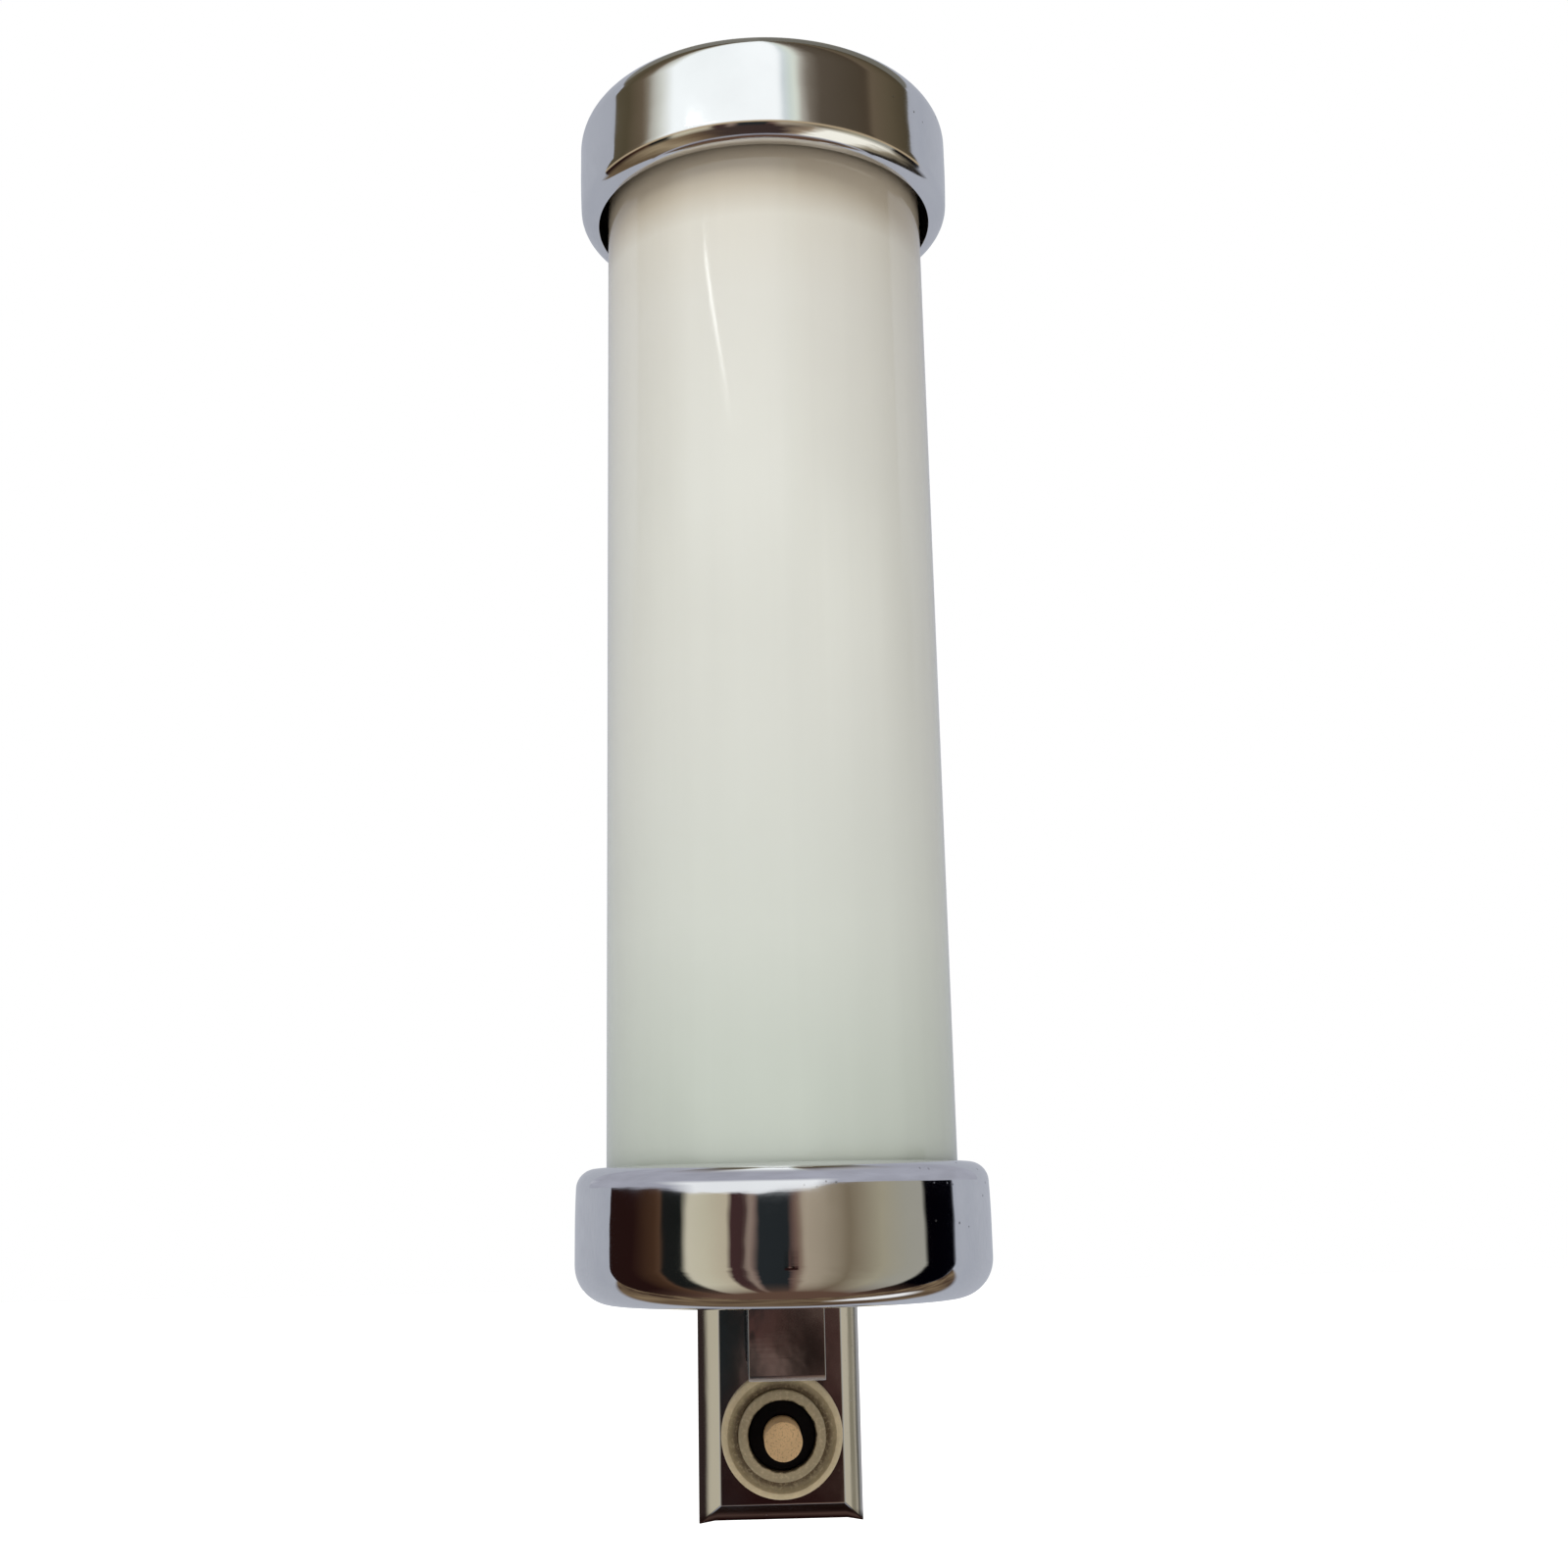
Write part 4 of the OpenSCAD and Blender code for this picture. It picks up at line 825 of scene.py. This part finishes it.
class TUBELIGHT_OT_lamp(Operator):
    """Blows the tubular bulb and fits its stem, filament and screw cap"""

    bl_idname = "tubelight.lamp"
    bl_label = "Lamp"

    def execute(self, context):
        made = finishes(context)
        r, h = radius_height("lamp_bulb")
        wall = 0.8
        bm = turned([
            (0, h - wall, 0), (r - wall, h - wall, 7.2), (r - wall, 14, 4), (4.95, 6, 2), (4.95, 0, 0.2),
            (5.75, 0, 0.2), (5.75, 5, 2), (r, 13.7, 5), (r, h, 8), (0, h, 0)], 96, closed=False)
        set_on_axis(bm, "lamp_bulb")
        complete(bm, "tube_bulb", made["bulb_glass"], ["lamp_bulb"])
        refine("lamp_stem", made["bulb_glass"], 0)
        refine("lamp_filament", made["drawn_tungsten"], 0)
        refine("lamp_cap", made["turned_brass"], 0.2)
        return {"FINISHED"}


class TUBELIGHT_OT_wiring(Operator):
    """Fits the terminal block, its screws, the grommet and the inner wires"""

    bl_idname = "tubelight.wiring"
    bl_label = "Wiring"

    def execute(self, context):
        made = finishes(context)
        refine("terminal_block", made["block_moulding"], 0.3)
        for node in ("terminal_screws", "earth_screw"):
            refine(node, made["turned_brass"])
        refine("block_screw", made["screw_steel"], 0.2)
        refine("cable_grommet", made["black_rubber"], 0.3)
        for node, cotton in (("live_wire", "brown"), ("switch_wire", "brown"), ("neutral_wire", "blue")):
            refine(node, made[cotton + "_cotton"], 0)
        return {"FINISHED"}


def linear(value):
    """Scene-linear value of one 8-bit channel."""
    value /= 255
    return value / 12.92 if value < 0.04045 else ((value + 0.055) / 1.055) ** 2.4


def rgb(*channels):
    """Scene-linear colour from 8-bit channels."""
    return tuple(linear(v) for v in channels)


def stops(marks, start=0, stop=1):
    """Ramp stops from 8-bit colours at places between start and stop."""
    return [((place - start) / (stop - start), rgb(*colour)) for place, colour in marks]


class TUBELIGHT_OT_studio(Operator):
    """Sets the floor, the coloured screen, the lamps and the camera"""

    bl_idname = "tubelight.studio"
    bl_label = "Studio"

    def execute(self, context):
        studio = context.scene.tube_light_studio
        self.world(context.scene, studio.sky)
        self.floor(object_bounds()[0].z - studio.floor_drop)
        self.room(studio.screen_radius)
        self.wall_card()
        self.lip_card()
        self.upper_card()
        self.lamp("key_lamp", (-0.16, -0.51, 0.665), 0.3, studio.key, (0.97, 1.0, 1.0))
        self.lamp("fill_lamp", (0.35, -1.0, -0.45), 0.7, studio.fill, (1.0, 0.98, 0.95))
        self.camera(context.scene)
        context.scene.view_settings.view_transform = "Standard"
        return {"FINISHED"}

    def world(self, scene, strength):
        """Even warm light on the pieces, and plain white where the camera or a mirror looks past them."""
        world = bpy.data.worlds.new("studio_world")
        world.use_nodes = True
        tree = world.node_tree
        plain = tree.nodes["Background"]
        plain.inputs["Color"].default_value = (1.0, 0.98, 0.94, 1)
        plain.inputs["Strength"].default_value = strength
        white = tree.nodes.new("ShaderNodeBackground")
        white.inputs["Color"].default_value = (1, 1, 1, 1)
        path = tree.nodes.new("ShaderNodeLightPath")
        seen = path.outputs["Is Camera Ray"]
        for name in ("Is Glossy Ray", "Is Transmission Ray"):
            either = tree.nodes.new("ShaderNodeMath")
            either.operation = "MAXIMUM"
            tree.links.new(seen, either.inputs[0])
            tree.links.new(path.outputs[name], either.inputs[1])
            seen = either.outputs[0]
        mix = tree.nodes.new("ShaderNodeMixShader")
        tree.links.new(seen, mix.inputs[0])
        tree.links.new(plain.outputs[0], mix.inputs[1])
        tree.links.new(white.outputs[0], mix.inputs[2])
        tree.links.new(mix.outputs[0], tree.nodes["World Output"].inputs["Surface"])
        scene.world = world

    def stage_piece(self, bm, name, material):
        mesh = bpy.data.meshes.new(name)
        bm.to_mesh(mesh)
        bm.free()
        mesh.materials.append(material)
        piece = bpy.data.objects.new(name, mesh)
        bpy.context.scene.collection.objects.link(piece)
        piece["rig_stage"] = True
        return piece

    def floor(self, height):
        """A pale floor that stays white in view and still takes the shadow."""
        f = Finish("floor_white")
        seen = f.add("ShaderNodeLightPath", "Is Camera Ray")
        f.set(
            Base_Color=f.mix(f.span(f.noise(3), 0, 1), (0.90, 0.90, 0.90), (0.94, 0.94, 0.94)), Roughness=0.9,
            Emission_Color=(1, 1, 1, 1), Emission_Strength=f.maths("MULTIPLY", seen, 0.8))
        bm = bmesh.new()
        bmesh.ops.create_grid(bm, x_segments=1, y_segments=1, size=9)
        move(bm, (0, 0, height))
        self.stage_piece(bm, "floor", f.material).visible_glossy = False

    def glowing(self, f, colour, strength=1.0, clear=None):
        """Shows a colour as it is written, whatever the light, and fades out where it is clear."""
        glow = f.add("ShaderNodeEmission", Color=colour, Strength=strength)
        if clear is not None:
            glow = f.add("ShaderNodeMixShader", ins=(clear, glow, f.add("ShaderNodeBsdfTransparent")))
        f.put(f.tree.nodes["Material Output"].inputs["Surface"], glow)
        f.tree.nodes.remove(f.shader)
        return f.material

    def mirror_only(self, piece):
        for ray in ("camera", "diffuse", "shadow", "transmission", "volume_scatter"):
            setattr(piece, "visible_" + ray, False)

    def room(self, radius):
        """A closed screen: the columns of a furnished room below, daylight and dark wood above."""
        f = Finish("room_screen")
        x, y, z = f.axes()
        turned_by, turn = 1.5, (-180, 180)
        bearing = f.maths("DEGREES", f.maths("ARCTAN2", x, f.maths("MULTIPLY", y, -1.0)))
        bearing = f.maths("ADD", bearing, turned_by)
        across = f.span(f.maths("ADD", bearing, f.jitter(4, 4.5, 2)), 0, 1, *turn)
        rise = f.maths("DIVIDE", z, f.off_axis((1, 1, 0)))
        low = f.ramp(across, stops([
            (-109, (168, 172, 183)), (-107, (34, 19, 17)), (-86, (34, 18, 16)), (-71, (64, 44, 31)),
            (-67.5, (76, 55, 41)), (-64.5, (24, 25, 24)), (-53, (22, 24, 23)), (-49, (190, 184, 164)),
            (-40, (186, 180, 158)), (-28, (178, 168, 146)), (-25.5, (62, 42, 42)), (-20, (60, 42, 41)),
            (-17.5, (140, 124, 112)), (-15, (116, 98, 90)), (-13, (36, 40, 42)), (1.5, (34, 38, 40)),
            (3.5, (92, 72, 66)), (6.5, (118, 99, 86)), (10.5, (160, 148, 130)), (20, (148, 137, 119)),
            (33, (114, 103, 85)), (38, (126, 116, 98)), (52, (152, 146, 126)), (66, (150, 148, 136)),
            (77.5, (152, 150, 140)), (79.5, (2, 1, 4)), (102, (2, 2, 6)), (104.5, (168, 172, 183))], *turn))
        high = f.ramp(across, stops([
            (-111, (118, 116, 108)), (-109, (90, 82, 66)), (-88, (78, 70, 53)), (-74, (98, 86, 70)),
            (-70, (128, 120, 106)), (-67, (172, 170, 160)), (-60, (206, 208, 200)), (-52, (246, 251, 251)),
            (9, (250, 254, 254)), (12.5, (206, 214, 216)), (15.5, (204, 214, 207)), (19, (216, 222, 210)),
            (22, (170, 166, 156)), (27, (116, 108, 97)), (34, (84, 75, 64)), (56, (74, 65, 53)),
            (64, (70, 60, 48)), (68, (98, 86, 70)), (80, (90, 80, 63)), (98, (70, 62, 46)),
            (101, (108, 106, 98))], *turn))
        # A patch that the flat faces of the tray and the arm mirror: slate, maroon and dark brown
        near = f.ramp(f.span(x, 0, 1, -0.03, 0.09), stops([
            (0.0, (20, 24, 23)), (0.26, (26, 28, 27)), (0.28, (84, 58, 54)), (0.40, (78, 53, 48)),
            (0.50, (46, 31, 26)), (0.58, (28, 20, 17)), (0.77, (24, 19, 16)), (0.80, (66, 45, 41)),
            (1.0, (58, 38, 36))]))
        near = f.mix(f.span(z, 0, 1, -0.225, -0.285), near, rgb(34, 15, 14))
        pale_spot = f.distance((0.017, -radius, -0.222))
        near = f.mix(f.span(pale_spot, 1, 0, 0.006, 0.034), near, rgb(146, 126, 116))
        from_middle = f.maths("ABSOLUTE", f.maths("SUBTRACT", x, 0.03))
        patch = f.maths(
            "MULTIPLY", f.band(z, (-0.145, -0.165), (-0.33, -0.38)), f.span(from_middle, 1, 0, 0.06, 0.085))
        low = f.mix(patch, low, near)
        low = f.mix(f.span(rise, 0, 1, -1.0, -3.0), low, rgb(92, 70, 58))
        low = f.mix(f.span(rise, 0, 1, 0.10, 0.17), low, rgb(172, 154, 126))
        colour = f.mix(f.span(rise, 0, 1, 0.24, 0.32), low, high)
        # A bright slanted strip that shows as the streak in the glass
        lean, foot, plain, brightest = 130.0, 31.5, 1.2, 11
        aside = f.maths("ABSOLUTE", f.maths("ADD", bearing, f.maths("MULTIPLY_ADD", rise, lean, -foot)))
        strip = f.maths("MULTIPLY", f.span(aside, 1, 0, 0.5, 1.2), f.band(rise, (0.42, 0.52), (0.552, 0.562)))
        self.glowing(f, colour, f.span(strip, plain, brightest, 0, 1))
        bm = bmesh.new()
        bmesh.ops.create_uvsphere(bm, u_segments=96, v_segments=48, radius=radius)
        self.mirror_only(self.stage_piece(bm, "room_screen", f.material))

    def wall_card(self):
        """The pale wall that the sides of the caps mirror, shaded close to the tray and dark below it."""
        f = Finish("wall_card")
        x, _, z = f.axes()
        y = 4 * MM
        beside = f.ramp(f.span(x, 0, 1, -0.03, 0.03), stops([
            (0.0, (190, 182, 160)), (0.165, (190, 182, 160)), (0.18, (48, 38, 36)), (0.5, (48, 38, 36)),
            (0.798, (170, 170, 172)), (0.804, (96, 94, 86)), (0.808, (96, 94, 86)), (0.812, (182, 174, 156)),
            (0.818, (134, 128, 110)), (0.831, (134, 128, 110)), (0.836, (188, 180, 160))]))
        under_tray = f.ramp(f.span(z, 0, 1, -0.152, -0.159), stops([
            (0.0, (26, 12, 10)), (0.3, (30, 14, 12)), (0.38, (76, 58, 52)), (0.46, (24, 12, 9)),
            (0.75, (30, 22, 18)), (0.8, (72, 60, 54)), (0.85, (40, 30, 26)), (1.0, (170, 172, 182))]))
        beside = f.mix(f.span(z, 0, 1, -0.151, -0.1525), beside, under_tray)
        pale = f.mix(f.span(f.noise(8), 0, 0.3), rgb(178, 182, 192), rgb(200, 202, 208))
        pale = f.mix(f.span(f.noise(260, 2), 0, 0.25), pale, rgb(150, 154, 166))
        below = f.mix(f.span(f.noise(14), 0, 1), rgb(58, 40, 34), rgb(140, 120, 94))
        white_spot = f.distance((0.095, y, -0.30))
        below = f.mix(f.span(white_spot, 1, 0, 0.035, 0.065), below, (1, 1, 1))
        colour = f.mix(f.span(f.maths("ABSOLUTE", x), 0, 1, 0.0235, 0.026), beside, pale)
        self.glowing(f, f.mix(f.span(z, 0, 1, -0.185, -0.20), colour, below))
        bm = bmesh.new()
        bm.faces.new([bm.verts.new((a, y, b)) for a, b in (
            (-0.24, -0.7), (0.335, -0.7), (0.335, -0.1), (0.40, 0.31), (0.40, 0.36), (0, 0.19),
            (-0.31, 0.36), (-0.31, 0.31), (-0.24, -0.1))])
        self.mirror_only(self.stage_piece(bm, "wall_card", f.material))

    def arc_card(self, name, material, rings, start, stop, steps=48):
        """A curved card about the tube; each ring gives radius and height for a bearing."""
        bm = bmesh.new()
        rows = []
        for i in range(steps + 1):
            bearing = start + (stop - start) * i / steps
            a = math.radians(bearing)
            rows.append([
                bm.verts.new((r * math.sin(a), AXIS.y - r * math.cos(a), z)) for r, z in rings(bearing)])
        for one, two in zip(rows, rows[1:]):
            for k in range(len(one) - 1):
                bm.faces.new((one[k], two[k], two[k + 1], one[k + 1]))
        self.mirror_only(self.stage_piece(bm, name, material))

    def lip_card(self):
        """A pale funnel round the lower rim, which mirrors it: brightest in front, clear towards the top."""
        f = Finish("lip_card")
        x, _, z = f.axes()
        front = f.band(x, (-0.100, -0.080), (0.025, 0.045))
        bright = f.maths("MULTIPLY", front, f.span(z, 1, 0, -0.072, -0.062))
        pale = f.mix(f.span(f.noise(30), 0, 0.5), rgb(178, 180, 192), rgb(150, 151, 160))
        self.glowing(f, f.mix(bright, pale, rgb(250, 253, 255)), clear=f.span(z, 0, 1, -0.02, 0.03))
        edge, sag, sag_bearing, sag_spread, slant = -0.0828, 0.0028, -16, 42, 0.00002

        def rings(bearing):
            swell = max(0, 1 - ((bearing - sag_bearing) / sag_spread) ** 2)
            return (0.12, edge - sag * swell + min(0, bearing) * slant), (0.08, -0.03), (0.045, 0.03)

        self.arc_card("lip_card", f.material, rings, -120, 120, 96)

    def upper_card(self):
        """A band below the upper lip: brown wood, a dark door and a bright cream window.

        It hides the lip card from that lip, and is clear close to the glass and at its top.
        """
        f = Finish("upper_card")
        x, y, z = f.axes()
        ahead = f.maths("SUBTRACT", AXIS.y, y)
        around = f.maths("SQRT", f.maths("ADD", f.maths("POWER", x, 2.0), f.maths("POWER", ahead, 2.0)))
        bearing = f.maths("DEGREES", f.maths("ARCTAN2", x, ahead))
        colour = f.ramp(f.span(f.maths("ADD", bearing, f.jitter(26, 22, 3)), 0, 1, -120, 120), stops([
            (0.0, (120, 104, 82)), (0.12, (98, 82, 62)), (0.24, (150, 134, 108)), (0.33, (104, 86, 66)),
            (0.40, (64, 52, 48)), (0.53, (58, 46, 44)), (0.60, (150, 132, 110)), (0.64, (252, 250, 238)),
            (0.76, (246, 243, 230)), (0.82, (150, 140, 120)), (0.88, (44, 40, 34)), (1.0, (20, 16, 14))]))
        clear = f.maths("MAXIMUM", f.span(z, 0, 1, 0.04, 0.078), f.span(around, 1, 0, 0.055, 0.1))
        self.glowing(f, colour, 1.15, clear)
        self.arc_card("upper_card", f.material, lambda bearing: (
            (0.048, 0.034), (0.085, -0.028), (0.124, -0.078), (0.16, -0.03), (0.16, 0.078)), -104, 104)

    def lamp(self, name, place, size, power, colour):
        data = bpy.data.lights.new(name, "AREA")
        data.shape = "DISK"
        data.size = size
        data.energy = power
        data.color = colour
        lamp = bpy.data.objects.new(name, data)
        lamp.location = place
        lamp.rotation_euler = (-Vector(place)).to_track_quat("-Z", "Y").to_euler()
        lamp.visible_glossy = False
        bpy.context.scene.collection.objects.link(lamp)

    def camera(self, scene):
        """The photo's camera: width, focal length and middle row in pixels, turns in radians."""
        photo_px, focal_px, middle_px = 1600, 1977.24, 735.13
        place = Vector((-0.0087, -0.39399, -0.09439))
        pitch, roll, yaw = 0.24617, -0.02084, -0.03136
        swing = Matrix.Rotation(yaw, 3, "Z")
        forward = swing @ Vector((0, math.cos(pitch), math.sin(pitch)))
        up = swing @ Vector((0, -math.sin(pitch), math.cos(pitch)))
        right = swing @ Vector((1, 0, 0))
        across = math.cos(roll) * right + math.sin(roll) * up
        upward = math.cos(roll) * up - math.sin(roll) * right
        data = bpy.data.cameras.new("photo_camera")
        data.sensor_width = 36
        data.lens = focal_px / photo_px * 36
        data.shift_y = -(photo_px / 2 - middle_px) / photo_px
        data.clip_start = 0.01
        data.clip_end = 60
        camera = bpy.data.objects.new("photo_camera", data)
        matrix = Matrix((across, upward, -forward)).transposed().to_4x4()
        matrix.translation = place
        camera.matrix_world = matrix
        scene.collection.objects.link(camera)
        scene.camera = camera


class TUBELIGHT_PT_panel(Panel):
    """Lists the pieces of the wall light"""

    bl_label = "Tube Light"
    bl_idname = "TUBELIGHT_PT_panel"
    bl_space_type = "VIEW_3D"
    bl_region_type = "UI"
    bl_category = "Tube Light"

    def draw(self, context):
        scene = context.scene
        for group in (scene.tube_light_sizes, scene.tube_light_colours, scene.tube_light_studio):
            box = self.layout.box()
            for key in group.__annotations__:
                box.prop(group, key)
        for operator in OPERATORS:
            self.layout.operator(operator.bl_idname)


OPERATORS = (
    TUBELIGHT_OT_caps, TUBELIGHT_OT_glass, TUBELIGHT_OT_seats, TUBELIGHT_OT_tray, TUBELIGHT_OT_arm,
    TUBELIGHT_OT_finial, TUBELIGHT_OT_switch, TUBELIGHT_OT_holder, TUBELIGHT_OT_lamp,
    TUBELIGHT_OT_wiring, TUBELIGHT_OT_studio)
GROUPS = (
    ("tube_light_sizes", TubeLightSizes), ("tube_light_colours", TubeLightColours),
    ("tube_light_studio", TubeLightStudio))


def register():
    for name, group in GROUPS:
        bpy.utils.register_class(group)
        setattr(bpy.types.Scene, name, PointerProperty(type=group))
    for operator in OPERATORS:
        bpy.utils.register_class(operator)
    bpy.utils.register_class(TUBELIGHT_PT_panel)


def unregister():
    bpy.utils.unregister_class(TUBELIGHT_PT_panel)
    for operator in reversed(OPERATORS):
        bpy.utils.unregister_class(operator)
    for name, group in reversed(GROUPS):
        delattr(bpy.types.Scene, name)
        bpy.utils.unregister_class(group)


def main():
    register()
    for operator in OPERATORS:
        family, name = operator.bl_idname.split(".")
        getattr(getattr(bpy.ops, family), name)()


if __name__ == "__main__":
    main()
